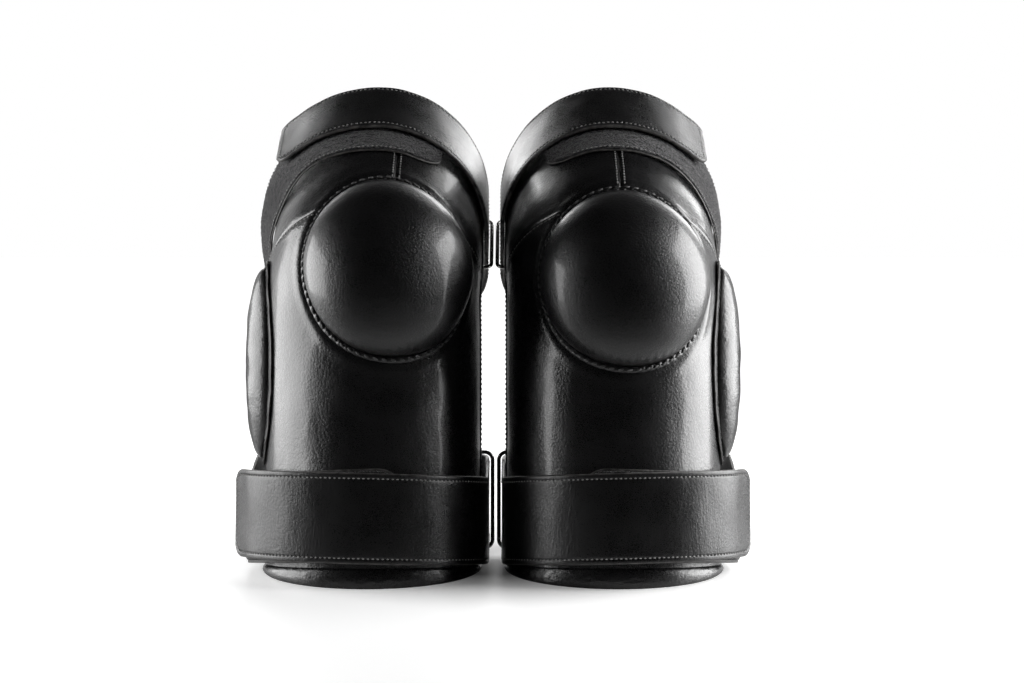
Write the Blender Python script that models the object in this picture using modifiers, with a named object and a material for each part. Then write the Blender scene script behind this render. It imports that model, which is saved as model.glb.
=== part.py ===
"""A pair of leather knee guards, built piece by piece.

Each guard is a moulded shell that stands on its lower rim. It rises along the shin, bends back at the
knee and ends over the thigh. A stitched knee dome sits on the bend and a padded roll on the outer side.
Two belts go round it: a loop-faced band and a leather strap that crosses the front and peels open.

Metres, +Z up, the front faces -Y. A guard is drawn in its own frame, with x towards its outer side.
"""

import math
from dataclasses import dataclass, field, replace

import bmesh
import bpy
from mathutils import Matrix, Vector

# ---- Driving dimensions ----
GUARD_SPACING = 0.0895  # from the middle of the pair to the middle of each guard
FRONT_Y = -0.1361  # the shell's front at the floor, which puts the pair's box round the origin
SHIN_LEAN = math.radians(8)
THIGH_LEAN = math.radians(61)
BEND_START = 0.204  # length up the front before the knee bend
BEND_RADIUS = 0.130  # at the front of the shell
SHELL_TOP = 0.4345  # length up the front to the upper edge
PANEL_SEAM = 0.2825  # where the shin panel meets the thigh panels
SHIN_SECTION = (0.079, 0.076)  # half width and depth of the rounded front
THIGH_SECTION = (0.080, 0.088)
SECTION_CHANGE = (0.204, 0.348)
SHIN_REACH = 0.038  # how far the straight sides go behind the rounded front
THIGH_REACH = 0.014
REACH_CHANGE = (0.135, 0.245)
RIM_HEIGHT = 0.003
RIM_LIP = 0.0004  # how far the rim shows past the wall
WALL_BASE = 0.0042  # the shell's layers start this high, on the rim

# Layers of the shell, as (offset of the outer face, thickness), inwards.
LEATHER = (0.0, 0.0024)
FOAM = (-0.0030, 0.0056)
LINING = (-0.0091, 0.0012)
WALL = 0.0103
PIPING_RADIUS = 0.0030
PIPING_GAP = 0.0006

# Layers of a belt, as (offset of the inner face, thickness), outwards.
BAND = (0.0008, 0.0024)
HOOK = (0.0037, 0.0009)
STRAP = (0.0051, 0.0030)
BELT_WIDTH = 0.064
STATION_LENGTH = 0.125  # about how much of a belt one station is
HOOK_WIDTH = 0.050
STRAP_CORNER = 0.012
BAND_CORNER = 0.020
HOOK_INSET = (0.04, 0.06)  # stations between the hook tape and the two ends of the strap's tip
SPLIT = 0.0003  # clearance between pieces that meet
SEAM_GAP = 0.0012  # between the leather panels, whose inner edges lean towards each other

RING_WIRE = 0.0015
RING_CORNER = 0.006
RING_PLAY = (0.0010, 0.0030)  # between the strap and the ring, at its face and at its edges
RING_INSET = 0.0093  # from the shell's outer face to the ring's inner bar
TAB_LIFT = 0.0004  # between the lining and the tab
TAB_EYE = 0.0039
TAB_HOLE = 0.0020
TAB_HEIGHT = 0.036
TAB_THICKNESS = 0.0020

DOME_LIFT = 0.0020
DOME_COVER = 0.0022
CUP_WALL = 0.0025
ROLL_LIFT = 0.0012
ROLL_COVER = 0.0016

FRONT_SHARE = 0.8  # the share of k, from the middle to an edge, that the rounded front takes

ANGLES = (-90, -75, -60, -45, -30, -15, 0, 15, 30, 45, 60, 75, 90)
SHIN_ROWS = (None, 0.120, 0.190, 0.214, 0.237, 0.260, PANEL_SEAM)
THIGH_ROWS = (PANEL_SEAM, 0.304, 0.326, 0.380, SHELL_TOP)
WHOLE_ROWS = SHIN_ROWS + THIGH_ROWS[1:]


# ---- The form that every piece follows ----
def ease(value, start, end):
    """0 before start, 1 after end, smooth between."""
    share = min(1.0, max(0.0, (value - start) / (end - start)))
    return share * share * (3 - 2 * share)


def lean_at(v):
    """Backward lean of the front line at length v from the floor."""
    bend = (v - BEND_START) / BEND_RADIUS
    return SHIN_LEAN + min(THIGH_LEAN - SHIN_LEAN, max(0.0, bend))


def front_at(v):
    """(y, z) of the front line at length v: straight, an arc, straight."""
    lean = lean_at(v)
    before = min(v, BEND_START)
    after = max(0.0, v - BEND_START - BEND_RADIUS * (THIGH_LEAN - SHIN_LEAN))
    y = before * math.sin(SHIN_LEAN) + BEND_RADIUS * (math.cos(SHIN_LEAN) - math.cos(lean))
    z = before * math.cos(SHIN_LEAN) + BEND_RADIUS * (math.sin(lean) - math.sin(SHIN_LEAN))
    return FRONT_Y + y + after * math.sin(THIGH_LEAN), z + after * math.cos(THIGH_LEAN)


def section_at(v):
    """Half width and depth of the rounded front at length v."""
    share = ease(v, *SECTION_CHANGE)
    return tuple(a + (b - a) * share for a, b in zip(SHIN_SECTION, THIGH_SECTION))


def reach_at(v):
    """How far the straight sides go behind the rounded front."""
    return SHIN_REACH + (THIGH_REACH - SHIN_REACH) * ease(v, *REACH_CHANGE)


def k_of(angle):
    """k for an angle from the front, in degrees."""
    return FRONT_SHARE * angle / 90


def across(k, v, off):
    """(x, depth behind the front line) of the shell at k, from -1 on the inner edge to 1 on the outer."""
    half, deep = section_at(v)
    turn = math.radians(90) * max(-1.0, min(1.0, k / FRONT_SHARE))
    extra = max(0.0, (abs(k) - FRONT_SHARE) / (1 - FRONT_SHARE)) * reach_at(v)
    return (half + off) * math.sin(turn), deep - (deep + off) * math.cos(turn) + extra


def skin(k, v, off):
    """A point at off outside the shell's outer face."""
    x, depth = across(k, v, off)
    y, z = front_at(v)
    lean = lean_at(v)
    return Vector((x, y + depth * math.cos(lean), z - depth * math.sin(lean)))


def floor_row(k, off, height):
    """The length v at which skin() is at a height above the floor, on the straight shin."""
    depth = across(k, 0.0, off)[1]
    return (height + depth * math.sin(SHIN_LEAN)) / math.cos(SHIN_LEAN)


# ---- Belts: loops in a plane across the leg ----
@dataclass
class Belt:
    """One belt's loop. Station u is 0 at the front, 1 and 2 on the outer side, 3 behind, -1 and -2 inside."""

    name: str
    centre: float  # length v of the strap's middle line
    outer_half: float
    inner_half: float  # where the strap runs along the inner side
    band_inner_half: float  # where the band starts on the front
    side_length: float
    rear_depth: float
    band_start: float
    band_end: float
    strap_start: float
    peel: float  # stations of the two peel lines
    tip_peel: float
    strap_end: float
    ring_depth: float
    tab_length: float
    band_drop: float  # how much lower than the strap the band sits on the front
    band_slope: float
    band_dip: float  # how much lower still its outer side sits
    strap_slope: float
    rear_rise: float  # how far the belt climbs along the leg on its way round the back
    section: tuple = field(default=SHIN_SECTION)

    def loop(self, u, off, start_half=None):
        """(x, depth) at station u. start_half is the inner half width of a strip that starts in front."""
        turn = (u + 3) % 6 - 3
        inner = start_half if start_half and turn > -1 else self.inner_half
        half = (self.outer_half if turn > 0 else inner) + off
        side = math.copysign(1.0, turn)
        station = abs(turn)
        deep = self.section[1]
        if station <= 1:
            angle = math.radians(90) * station
            return side * half * math.sin(angle), deep - (deep + off) * math.cos(angle)
        if station <= 2:
            return side * half, deep + (station - 1) * self.side_length
        angle = math.radians(90) * (station - 2)
        behind = deep + self.side_length + (self.rear_depth + off) * math.sin(angle)
        return side * half * math.cos(angle), behind

    def strap_shift(self, u):
        """How far along the leg the strap's middle line is from the belt's plane."""
        climb = self.rear_rise * ease(abs(u), 0.9, 2.3)
        return self.strap_slope * max(-1.0, min(1.0, u)) + climb

    def band_shift(self, u):
        """The same for the band, which joins the strap behind the leg."""
        apart = self.band_drop - self.band_slope * max(-1.0, min(1.0, u))
        apart += self.band_dip * ease(u, 0.2, 0.9)
        return self.rear_rise * ease(u, 0.9, 2.3) - apart * (1 - ease(u, 1.2, 3.6))

    def ring_station(self):
        """The station where the strap runs through the ring."""
        return -1 - (self.ring_depth - self.section[1]) / self.side_length

    def frame(self):
        """Matrix of the belt's plane: x across, y backwards, z along the leg."""
        lean = lean_at(self.centre)
        y, z = front_at(self.centre)
        back = Vector((0, math.cos(lean), -math.sin(lean)))
        along = Vector((0, math.sin(lean), math.cos(lean)))
        turned = Matrix((Vector((1, 0, 0)), back, along)).transposed()
        return Matrix.Translation((0, y, z)) @ turned.to_4x4()


LOWER = Belt(
    name="lower",
    centre=0.0497,
    outer_half=0.0899,
    inner_half=0.0761,
    band_inner_half=0.0795,
    side_length=0.052,
    rear_depth=0.045,
    band_start=-0.22,
    band_end=3.85,
    strap_start=-2.4,
    peel=-0.25,
    tip_peel=0.375,
    strap_end=0.93,
    ring_depth=0.124,
    tab_length=0.040,
    band_drop=-0.0025,
    band_slope=-0.0045,
    band_dip=0.0,
    strap_slope=0.0035,
    rear_rise=0.018,
)
UPPER = Belt(
    name="upper",
    centre=0.4075,
    outer_half=0.0858,
    inner_half=0.0766,
    band_inner_half=0.0795,
    side_length=0.036,
    rear_depth=0.050,
    band_start=-0.42,
    band_end=3.85,
    strap_start=-2.4,
    peel=-0.25,
    tip_peel=0.1875,
    strap_end=0.61,
    ring_depth=0.116,
    tab_length=0.027,
    band_drop=0.028,
    band_slope=0.0,
    band_dip=0.008,
    strap_slope=0.0,
    rear_rise=0.0,
    section=THIGH_SECTION,
)


# ---- What is different on the two guards ----
@dataclass
class Guard:
    """One guard of the pair: side is 1 on the right and -1 on the left."""

    side: int
    label: str
    seam_angle: float  # of the seam above the dome, in degrees towards the outer side
    dome_angle: float
    dome_height: float  # length v of the dome's middle
    dome_tall: float  # half the dome's size along the leg
    lower_inner: float  # how far the lower strap stands off the inner side, from the middle
    upper_outer: float  # the same for the upper belt on the outer side

    def belts(self):
        """The two belts as they sit on this guard."""
        return (
            replace(LOWER, inner_half=self.lower_inner),
            replace(UPPER, outer_half=self.upper_outer),
        )


RIGHT = Guard(
    side=1,
    label="right",
    seam_angle=3,
    dome_angle=6,
    dome_height=0.226,
    dome_tall=0.069,
    lower_inner=0.0750,
    upper_outer=0.0850,
)
LEFT = Guard(
    side=-1,
    label="left",
    seam_angle=-13,
    dome_angle=-14,
    dome_height=0.236,
    dome_tall=0.072,
    lower_inner=0.0780,
    upper_outer=0.0900,
)

DOME_WIDE = 0.0675
DOME_RISE = 0.024
ROLL_MIDDLE = (-0.041, 0.152)  # y and z
ROLL_SIZE = (0.027, 0.071)  # half width and half height
ROLL_WELT = 0.004  # how far the welt shows round the roll
ROLL_RISE = 0.016


# ---- Materials ----
def principled(name, colour, roughness, metallic=0.0):
    """A material with one Principled BSDF."""
    material = bpy.data.materials.new(name)
    material.use_nodes = True
    shader = material.node_tree.nodes["Principled BSDF"]
    shader.inputs["Base Color"].default_value = (*colour, 1)
    shader.inputs["Roughness"].default_value = roughness
    shader.inputs["Metallic"].default_value = metallic
    return material


def make_materials():
    """Every finish on the guards."""
    return {
        "leather": principled("black_leather", (0.018, 0.018, 0.020), 0.35),
        "strap_leather": principled("strap_leather", (0.022, 0.022, 0.023), 0.42),
        "loop": principled("loop_fabric", (0.030, 0.030, 0.033), 0.95),
        "hook": principled("hook_tape", (0.020, 0.020, 0.021), 0.80),
        "foam": principled("padding_foam", (0.10, 0.10, 0.11), 0.90),
        "lining": principled("lining_suede", (0.045, 0.043, 0.042), 0.90),
        "shell_plastic": principled("cup_plastic", (0.05, 0.05, 0.05), 0.45),
        "steel": principled("plated_steel", (0.70, 0.70, 0.70), 0.20, 1.0),
    }


# ---- Builders ----
class Workshop:
    """Makes the objects of one guard, mirrored for the left one, and parents them to its empty."""

    def __init__(self, guard, collection, materials):
        self.guard = guard
        self.collection = collection
        self.materials = materials
        self.base = self.empty("guard", Matrix.Translation((guard.side * GUARD_SPACING, 0, 0)))

    def empty(self, name, matrix, parent=None):
        """An empty at a matrix in its parent's frame."""
        holder = bpy.data.objects.new(f"{self.guard.label}_{name}_frame", None)
        holder.empty_display_size = 0.02
        holder.parent = parent
        holder.matrix_basis = matrix
        self.collection.objects.link(holder)
        return holder

    def mirrored(self, point):
        """A point of the right guard's frame, on this guard."""
        return Vector((self.guard.side * point[0], point[1], point[2]))

    def add(self, name, data, material, holder=None):
        """Links a piece whose shape is in the guard's frame, under the guard's or a joint's empty."""
        piece = bpy.data.objects.new(f"{self.guard.label}_{name}", data)
        data.materials.append(self.materials[material])
        self.collection.objects.link(piece)
        piece.parent = holder or self.base
        if holder:
            data.transform(holder.matrix_basis.inverted())
        return piece

    def mesh(self, name, work, material, holder=None):
        """Closes a bmesh into a piece, with faces outwards on the mirrored guard too."""
        for vert in work.verts:
            vert.co = self.mirrored(vert.co)
        if self.guard.side < 0:
            bmesh.ops.reverse_faces(work, faces=work.faces)
        data = bpy.data.meshes.new(f"{self.guard.label}_{name}")
        work.to_mesh(data)
        work.free()
        return self.add(name, data, material, holder)


def solidify(piece, thickness, outwards):
    """Gives an open surface its thickness."""
    modifier = piece.modifiers.new("thickness", "SOLIDIFY")
    modifier.thickness = thickness
    modifier.offset = 1 if outwards else -1
    modifier.use_even_offset = True


def bent_grid(columns, rows, place):
    """A flat grid whose point at column i and row j goes to place(i, j)."""
    work = bmesh.new()
    bmesh.ops.create_grid(work, x_segments=columns, y_segments=rows, size=0.5)
    for vert in work.verts:
        i = round((vert.co.x + 0.5) * columns)
        j = round((vert.co.y + 0.5) * rows)
        vert.co = place(i, j)
    return work


def round_patch(segments, rings, place, closed=False):
    """A disc, or a whole lens when closed, from a sphere: place(share of radius, turn, is_top)."""
    work = bmesh.new()
    bmesh.ops.create_uvsphere(work, u_segments=segments, v_segments=2 * rings, radius=1)
    if not closed:
        lower = [vert for vert in work.verts if vert.co.z < -1e-4]
        bmesh.ops.delete(work, geom=lower, context="VERTS")
    for vert in work.verts:
        height = max(-1.0, min(1.0, vert.co.z))
        share = math.acos(abs(height)) / math.radians(90)
        vert.co = place(share, math.atan2(vert.co.y, vert.co.x), height > -1e-4)
    return work


def columns_with(seam_angle):
    """The shell's k stations, with the nearest one moved onto the centre seam."""
    nearest = min(ANGLES, key=lambda angle: abs(angle - seam_angle))
    angles = [seam_angle if angle == nearest else angle for angle in ANGLES]
    return [-1.0] + [k_of(angle) for angle in angles] + [1.0], k_of(seam_angle)


def shell_layer(shop, name, layer, ks, rows, material):
    """A wall of the shell over the given stations. A row of None is the foot of the wall."""
    off, thickness = layer

    def place(i, j):
        v = floor_row(ks[i], off, WALL_BASE) if rows[j] is None else rows[j]
        return skin(ks[i], v, off)

    work = bent_grid(len(ks) - 1, len(rows) - 1, place)
    solidify(shop.mesh(name, work, material), thickness, outwards=False)


def shell(shop):
    """The leather panels, the padding, the lining, the rim and the piping round the edge."""
    ks, seam = columns_with(shop.guard.seam_angle)
    split = SEAM_GAP / 2
    shin = SHIN_ROWS[:-1] + (PANEL_SEAM - split,)
    thigh = (PANEL_SEAM + split,) + THIGH_ROWS[1:]
    k_split = k_of(math.degrees(split / THIGH_SECTION[0]))
    inner = [k for k in ks if k < seam] + [seam - k_split]
    outer = [seam + k_split] + [k for k in ks if k > seam]
    shell_layer(shop, "shin_panel", LEATHER, ks, shin, "leather")
    shell_layer(shop, "thigh_panel_inner", LEATHER, inner, thigh, "leather")
    shell_layer(shop, "thigh_panel_outer", LEATHER, outer, thigh, "leather")
    shell_layer(shop, "padding", FOAM, ks, WHOLE_ROWS, "foam")
    shell_layer(shop, "lining", LINING, ks, WHOLE_ROWS, "lining")
    rim(shop, ks)
    piping(shop)


def rim(shop, ks):
    """The flat welt under the wall, which the guard stands on."""
    edges = (-WALL - RIM_LIP, RIM_LIP)

    def place(i, j):
        point = skin(ks[i], floor_row(ks[i], edges[j], 0.0), edges[j])
        if abs(ks[i]) == 1:
            point.y += 2 * PIPING_RADIUS
        return Vector((point.x, point.y, 0.0))

    work = bent_grid(len(ks) - 1, 1, place)
    solidify(shop.mesh("bottom_rim", work, "leather"), RIM_HEIGHT, outwards=False)


def piping(shop):
    """The corded edge, up one side, over the top and down the other, as one bevelled curve."""
    mid = -WALL / 2
    gap = PIPING_RADIUS + PIPING_GAP

    def rear(side, v):
        point = skin(side, v, mid)
        lean = lean_at(v)
        return point + gap * Vector((0, math.cos(lean), -math.sin(lean)))

    def corner(side, turn):
        along = gap * math.sin(turn)
        back = gap * math.cos(turn)
        point = skin(side, SHELL_TOP, mid)
        lean = THIGH_LEAN
        point += back * Vector((0, math.cos(lean), -math.sin(lean)))
        return point + along * Vector((0, math.sin(lean), math.cos(lean)))

    heights = [0.120, 0.155, 0.19, 0.214, 0.237, 0.26, 0.28, 0.30, 0.32, 0.34, 0.38, SHELL_TOP - 0.004]
    foot = floor_row(1.0, mid, WALL_BASE)
    side = [rear(1, v) for v in [foot] + heights]
    side += [corner(1, math.radians(turn)) for turn in (0, 30, 60, 90)]
    top = [skin(k_of(angle), SHELL_TOP + gap, mid) for angle in range(80, -81, -16)]
    inner = [Vector((-point.x, point.y, point.z)) for point in reversed(side)]
    wire(shop, "edge_piping", side + top + inner, PIPING_RADIUS, "leather", closed=False)


def wire(shop, name, points, radius, material, closed, holder=None):
    """A round rod along points."""
    data = bpy.data.curves.new(f"{shop.guard.label}_{name}", "CURVE")
    data.dimensions = "3D"
    data.bevel_depth = radius
    data.bevel_resolution = 1
    data.use_fill_caps = True
    spline = data.splines.new("POLY")
    spline.points.add(len(points) - 1)
    for target, point in zip(spline.points, points):
        target.co = (*shop.mirrored(point), 1)
    spline.use_cyclic_u = closed
    return shop.add(name, data, material, holder)


# ---- The knee dome and the side roll ----
def dome(shop):
    """The knee dome: a leather cover over a moulded cup over a foam filling."""
    guard = shop.guard

    def at(inset, base, rise):
        wide = DOME_WIDE - inset
        tall = guard.dome_tall - inset

        def place(share, turn, is_top):
            side = wide * share * math.cos(turn) / SHIN_SECTION[0]
            k = k_of(guard.dome_angle + math.degrees(side))
            v = guard.dome_height + tall * share * math.sin(turn)
            swell = (1 - share**2.6) ** 0.55 if is_top else 0.0
            return skin(k, v, base + rise * swell)

        return place

    inset = DOME_COVER
    rise = DOME_RISE - DOME_COVER
    cover = round_patch(24, 4, at(inset, DOME_LIFT, rise))
    solidify(shop.mesh("dome_cover", cover, "leather"), DOME_COVER, outwards=True)
    inset += CUP_WALL + 0.0035
    rise -= CUP_WALL + 0.0012
    cup = round_patch(24, 4, at(inset, DOME_LIFT, rise))
    solidify(shop.mesh("dome_cup", cup, "shell_plastic"), CUP_WALL, outwards=True)
    foam = round_patch(24, 3, at(inset + 0.003, DOME_LIFT, rise - 0.0012), closed=True)
    shop.mesh("dome_padding", foam, "foam")


def outer_side(y, z, off):
    """A point at off outside the shell's outer side, over a place in the side view."""
    start_y, start_z = front_at(BEND_START)
    back = (math.cos(SHIN_LEAN), -math.sin(SHIN_LEAN))
    along = (-back[1], back[0])
    offset = (y - start_y, z - start_z)
    if offset[0] * along[0] + offset[1] * along[1] < 0:
        depth = offset[0] * back[0] + offset[1] * back[1]
    else:
        centre = [BEND_RADIUS * part for part in back]
        depth = BEND_RADIUS - math.dist(offset, centre)
    half, deep = SHIN_SECTION
    turn = math.acos(max(0.0, 1 - depth / deep))
    return Vector(((half + off) * math.sin(turn), y, z))


def side_roll(shop):
    """The long pad on the outer side: a flat welt, a stuffed cover and its core."""
    middle_y, middle_z = ROLL_MIDDLE
    slope = math.tan(SHIN_LEAN)

    def at(grow, base, rise):
        def place(share, turn, is_top):
            up = (ROLL_SIZE[1] + grow) * share * math.sin(turn)
            back = (ROLL_SIZE[0] + grow) * share * math.cos(turn) + up * slope
            swell = (1 - share**2.4) ** 0.5 if is_top else 0.0
            return outer_side(middle_y + back, middle_z + up, base + rise * swell)

        return place

    welt = round_patch(20, 2, at(ROLL_WELT, ROLL_LIFT, 0.0))
    solidify(shop.mesh("roll_welt", welt, "leather"), ROLL_COVER, outwards=True)
    base = ROLL_LIFT + ROLL_COVER + 2 * SPLIT
    rise = ROLL_RISE - base - ROLL_COVER
    cover = round_patch(20, 3, at(-ROLL_COVER, base, rise))
    solidify(shop.mesh("roll_cover", cover, "leather"), ROLL_COVER, outwards=True)
    core = round_patch(20, 2, at(-0.005, base + SPLIT, rise - 0.002), closed=True)
    shop.mesh("roll_core", core, "foam")


# ---- Belts ----
def on_belt(belt, x, depth, along):
    """A point of the belt's plane, in the guard's frame."""
    return belt.frame() @ Vector((x, depth, along))


def stations(start, end, step=0.125):
    """Stations from start to end, on whole steps between, so that layers have matching facets."""
    first = math.floor(start / step + 1e-6) + 1
    inside = [n * step for n in range(first, math.ceil(end / step - 1e-6))]
    return [start] + [u for u in inside if start + 0.02 < u < end - 0.02] + [end]


def rounded_stations(start, end, start_radius=0.0, end_radius=0.0):
    """(station, how far the edges draw in) along a strip, whose corners may be round."""
    turns = [math.radians(turn) for turn in (30, 60, 90)]
    first = start + start_radius / STATION_LENGTH
    last = end - end_radius / STATION_LENGTH
    made = [(u, 0.0) for u in stations(first, last)]
    for turn in turns:
        along = math.sin(turn) / STATION_LENGTH
        if start_radius:
            made.insert(0, (first - start_radius * along, start_radius * (1 - math.cos(turn))))
        if end_radius:
            made.append((last + end_radius * along, end_radius * (1 - math.cos(turn))))
    return made


def strip(shop, name, belt, us, layer, material, shift, width=BELT_WIDTH, start_half=None, holder=None):
    """A flat strap bent along the belt's loop through rounded_stations, at shift(u) along the leg."""
    off, thickness = layer

    def place(i, j):
        u, cut = us[i]
        x, depth = belt.loop(u, off, start_half)
        return on_belt(belt, x, depth, shift(u) + (2 * j - 1) * (width / 2 - cut))

    work = bent_grid(len(us) - 1, 1, place)
    solidify(shop.mesh(f"{belt.name}_{name}", work, material, holder), thickness, outwards=True)


def hinge(shop, name, belt, u):
    """An empty on a peel line: its z is the line, on the strap's outer face."""
    x, depth = belt.loop(u, STRAP[0] + STRAP[1])
    frame = belt.frame()
    middle = shop.mirrored(frame @ Vector((x, depth, 0)))
    return shop.empty(f"{belt.name}_{name}", Matrix.Translation(middle) @ frame.to_3x3().to_4x4(), shop.base)


def belt_pieces(shop, belt):
    """The band, the strap in three lengths, its hook tape, the guide ring and the ring's tab."""
    gap = SPLIT / STATION_LENGTH / 2
    peel = hinge(shop, "strap_peel", belt, belt.peel)
    tip = hinge(shop, "tip_peel", belt, belt.tip_peel)
    band = rounded_stations(belt.band_start, belt.band_end, start_radius=BAND_CORNER)
    root = rounded_stations(belt.strap_start, belt.peel - gap)
    middle = rounded_stations(belt.peel + gap, belt.tip_peel - gap)
    end = rounded_stations(belt.tip_peel + gap, belt.strap_end, end_radius=STRAP_CORNER)
    tape = rounded_stations(belt.tip_peel + HOOK_INSET[0], belt.strap_end - HOOK_INSET[1])
    shift = belt.strap_shift
    strip(shop, "band", belt, band, BAND, "loop", belt.band_shift, start_half=belt.band_inner_half)
    strip(shop, "strap_root", belt, root, STRAP, "strap_leather", shift)
    strip(shop, "strap_middle", belt, middle, STRAP, "strap_leather", shift, holder=peel)
    strip(shop, "strap_tip", belt, end, STRAP, "strap_leather", shift, holder=tip)
    strip(shop, "hook_tape", belt, tape, HOOK, "hook", shift, width=HOOK_WIDTH, holder=tip)
    ring(shop, belt)


def ring(shop, belt):
    """The guide ring that the strap runs through, turning in the eye of a sewn tab."""
    inner_bar = RING_INSET - belt.section[0]
    outer_bar = -(belt.inner_half + STRAP[0] + STRAP[1] + RING_PLAY[0] + RING_WIRE)
    half_height = BELT_WIDTH / 2 + RING_PLAY[1] + RING_WIRE
    middle = belt.strap_shift(belt.ring_station())
    corners = (
        (inner_bar - RING_CORNER, half_height - RING_CORNER, 0),
        (outer_bar + RING_CORNER, half_height - RING_CORNER, 90),
        (outer_bar + RING_CORNER, -half_height + RING_CORNER, 180),
        (inner_bar - RING_CORNER, -half_height + RING_CORNER, 270),
    )
    points = []
    for x, along, start in corners:
        for step in (0, 30, 60, 90):
            turn = math.radians(start + step)
            across_x = x + RING_CORNER * math.cos(turn)
            along_z = middle + along + RING_CORNER * math.sin(turn)
            points.append(on_belt(belt, across_x, belt.ring_depth, along_z))
    frame = belt.frame()
    pivot = shop.mirrored(frame @ Vector((inner_bar, belt.ring_depth, middle)))
    matrix = Matrix.Translation(pivot) @ frame.to_3x3().to_4x4()
    holder = shop.empty(f"{belt.name}_ring_swing", matrix, shop.base)
    wire(shop, f"{belt.name}_ring", points, RING_WIRE, "steel", closed=True, holder=holder)
    tab(shop, belt, inner_bar, middle)


def tab(shop, belt, eye_x, middle):
    """The leather tab sewn inside the shell, folded round the ring's inner bar."""
    face = WALL + TAB_LIFT - belt.section[0]
    back = face + TAB_THICKNESS
    eye_depth = belt.ring_depth
    start = math.degrees(math.acos((face - eye_x) / TAB_EYE))
    end = math.degrees(math.acos((back - eye_x) / TAB_EYE))
    outline = [(back, eye_depth - belt.tab_length), (face, eye_depth - belt.tab_length)]
    sweep = 360 - start + end
    for n in range(15):
        turn = math.radians(-start - sweep * n / 14)
        outline.append((eye_x + TAB_EYE * math.cos(turn), eye_depth + TAB_EYE * math.sin(turn)))
    hole = []
    for n in range(8):
        turn = math.radians(45 * n)
        hole.append((eye_x + TAB_HOLE * math.cos(turn), eye_depth + TAB_HOLE * math.sin(turn)))
    data = bpy.data.curves.new(f"{shop.guard.label}_{belt.name}_ring_tab", "CURVE")
    data.dimensions = "2D"
    data.fill_mode = "BOTH"
    data.extrude = TAB_HEIGHT / 2
    for points in (outline, hole):
        spline = data.splines.new("POLY")
        spline.points.add(len(points) - 1)
        for target, (x, depth) in zip(spline.points, points):
            target.co = (shop.guard.side * x, depth, 0, 1)
        spline.use_cyclic_u = True
    piece = shop.add(f"{belt.name}_ring_tab", data, "leather")
    piece.matrix_basis = belt.frame() @ Matrix.Translation((0, 0, middle))


# ---- The pair ----
def build():
    """Clears the file and makes both guards."""
    for old in list(bpy.data.objects):
        bpy.data.objects.remove(old)
    collection = bpy.data.collections.new("knee_guards")
    bpy.context.scene.collection.children.link(collection)
    materials = make_materials()
    for guard in (RIGHT, LEFT):
        shop = Workshop(guard, collection, materials)
        shell(shop)
        dome(shop)
        side_roll(shop)
        for belt in guard.belts():
            belt_pieces(shop, belt)
    bpy.context.view_layer.update()


build()
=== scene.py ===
"""Dresses a pair of black leather knee guards.

Each guard is a moulded leather shell over foam, with a stitched knee dome, a stuffed side roll, a bound
edge and two belts. A belt is a loop-faced band and a leather strap that runs through a guide ring, crosses
the front and fastens on the band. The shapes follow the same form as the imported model.

Metres, +Z up, the front faces -Y. A guard is drawn in its own frame, with x towards its outer side, and is
put in its place, mirrored for the left one, when its mesh is finished.
"""

from __future__ import annotations

import logging
import math
from dataclasses import dataclass, replace
from enum import Enum
from typing import Callable, Iterable, Sequence

import bmesh
import bpy
from mathutils import Matrix, Vector, noise

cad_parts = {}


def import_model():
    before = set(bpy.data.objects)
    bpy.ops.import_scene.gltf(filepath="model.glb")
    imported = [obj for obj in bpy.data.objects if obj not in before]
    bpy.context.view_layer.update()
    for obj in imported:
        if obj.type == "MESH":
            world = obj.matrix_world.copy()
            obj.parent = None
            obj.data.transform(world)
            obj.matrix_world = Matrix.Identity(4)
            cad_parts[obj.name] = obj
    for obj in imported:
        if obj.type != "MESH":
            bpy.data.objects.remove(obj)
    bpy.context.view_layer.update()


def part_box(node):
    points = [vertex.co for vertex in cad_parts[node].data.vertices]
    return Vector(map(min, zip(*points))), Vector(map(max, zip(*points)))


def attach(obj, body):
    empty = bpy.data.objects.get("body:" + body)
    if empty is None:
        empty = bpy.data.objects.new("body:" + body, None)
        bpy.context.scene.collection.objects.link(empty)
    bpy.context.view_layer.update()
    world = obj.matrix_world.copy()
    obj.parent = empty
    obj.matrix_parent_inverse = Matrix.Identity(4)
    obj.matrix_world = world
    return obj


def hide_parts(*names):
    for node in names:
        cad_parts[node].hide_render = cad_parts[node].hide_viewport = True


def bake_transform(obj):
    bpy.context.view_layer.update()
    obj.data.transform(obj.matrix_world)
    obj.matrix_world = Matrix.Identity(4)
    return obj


LOG = logging.getLogger("knee_guards")

MM = 0.001
Spot = tuple[Vector, float]  # a place on a surface, and how pale the leather is there: wear, and in places a painted highlight
Track = list[tuple[Vector, Vector]]  # points along a line on a surface, with the surface's normals


# ---- the form ----


def ease(value: float, start: float, end: float) -> float:
    """0 before start, 1 after end, smooth between."""
    share = min(1.0, max(0.0, (value - start) / (end - start)))
    return share * share * (3 - 2 * share)


def hump(distance: float, width: float) -> float:
    """A smooth bump: 1 at no distance, near 0 past twice the width."""
    return math.exp(-((distance / width) ** 2))


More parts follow.
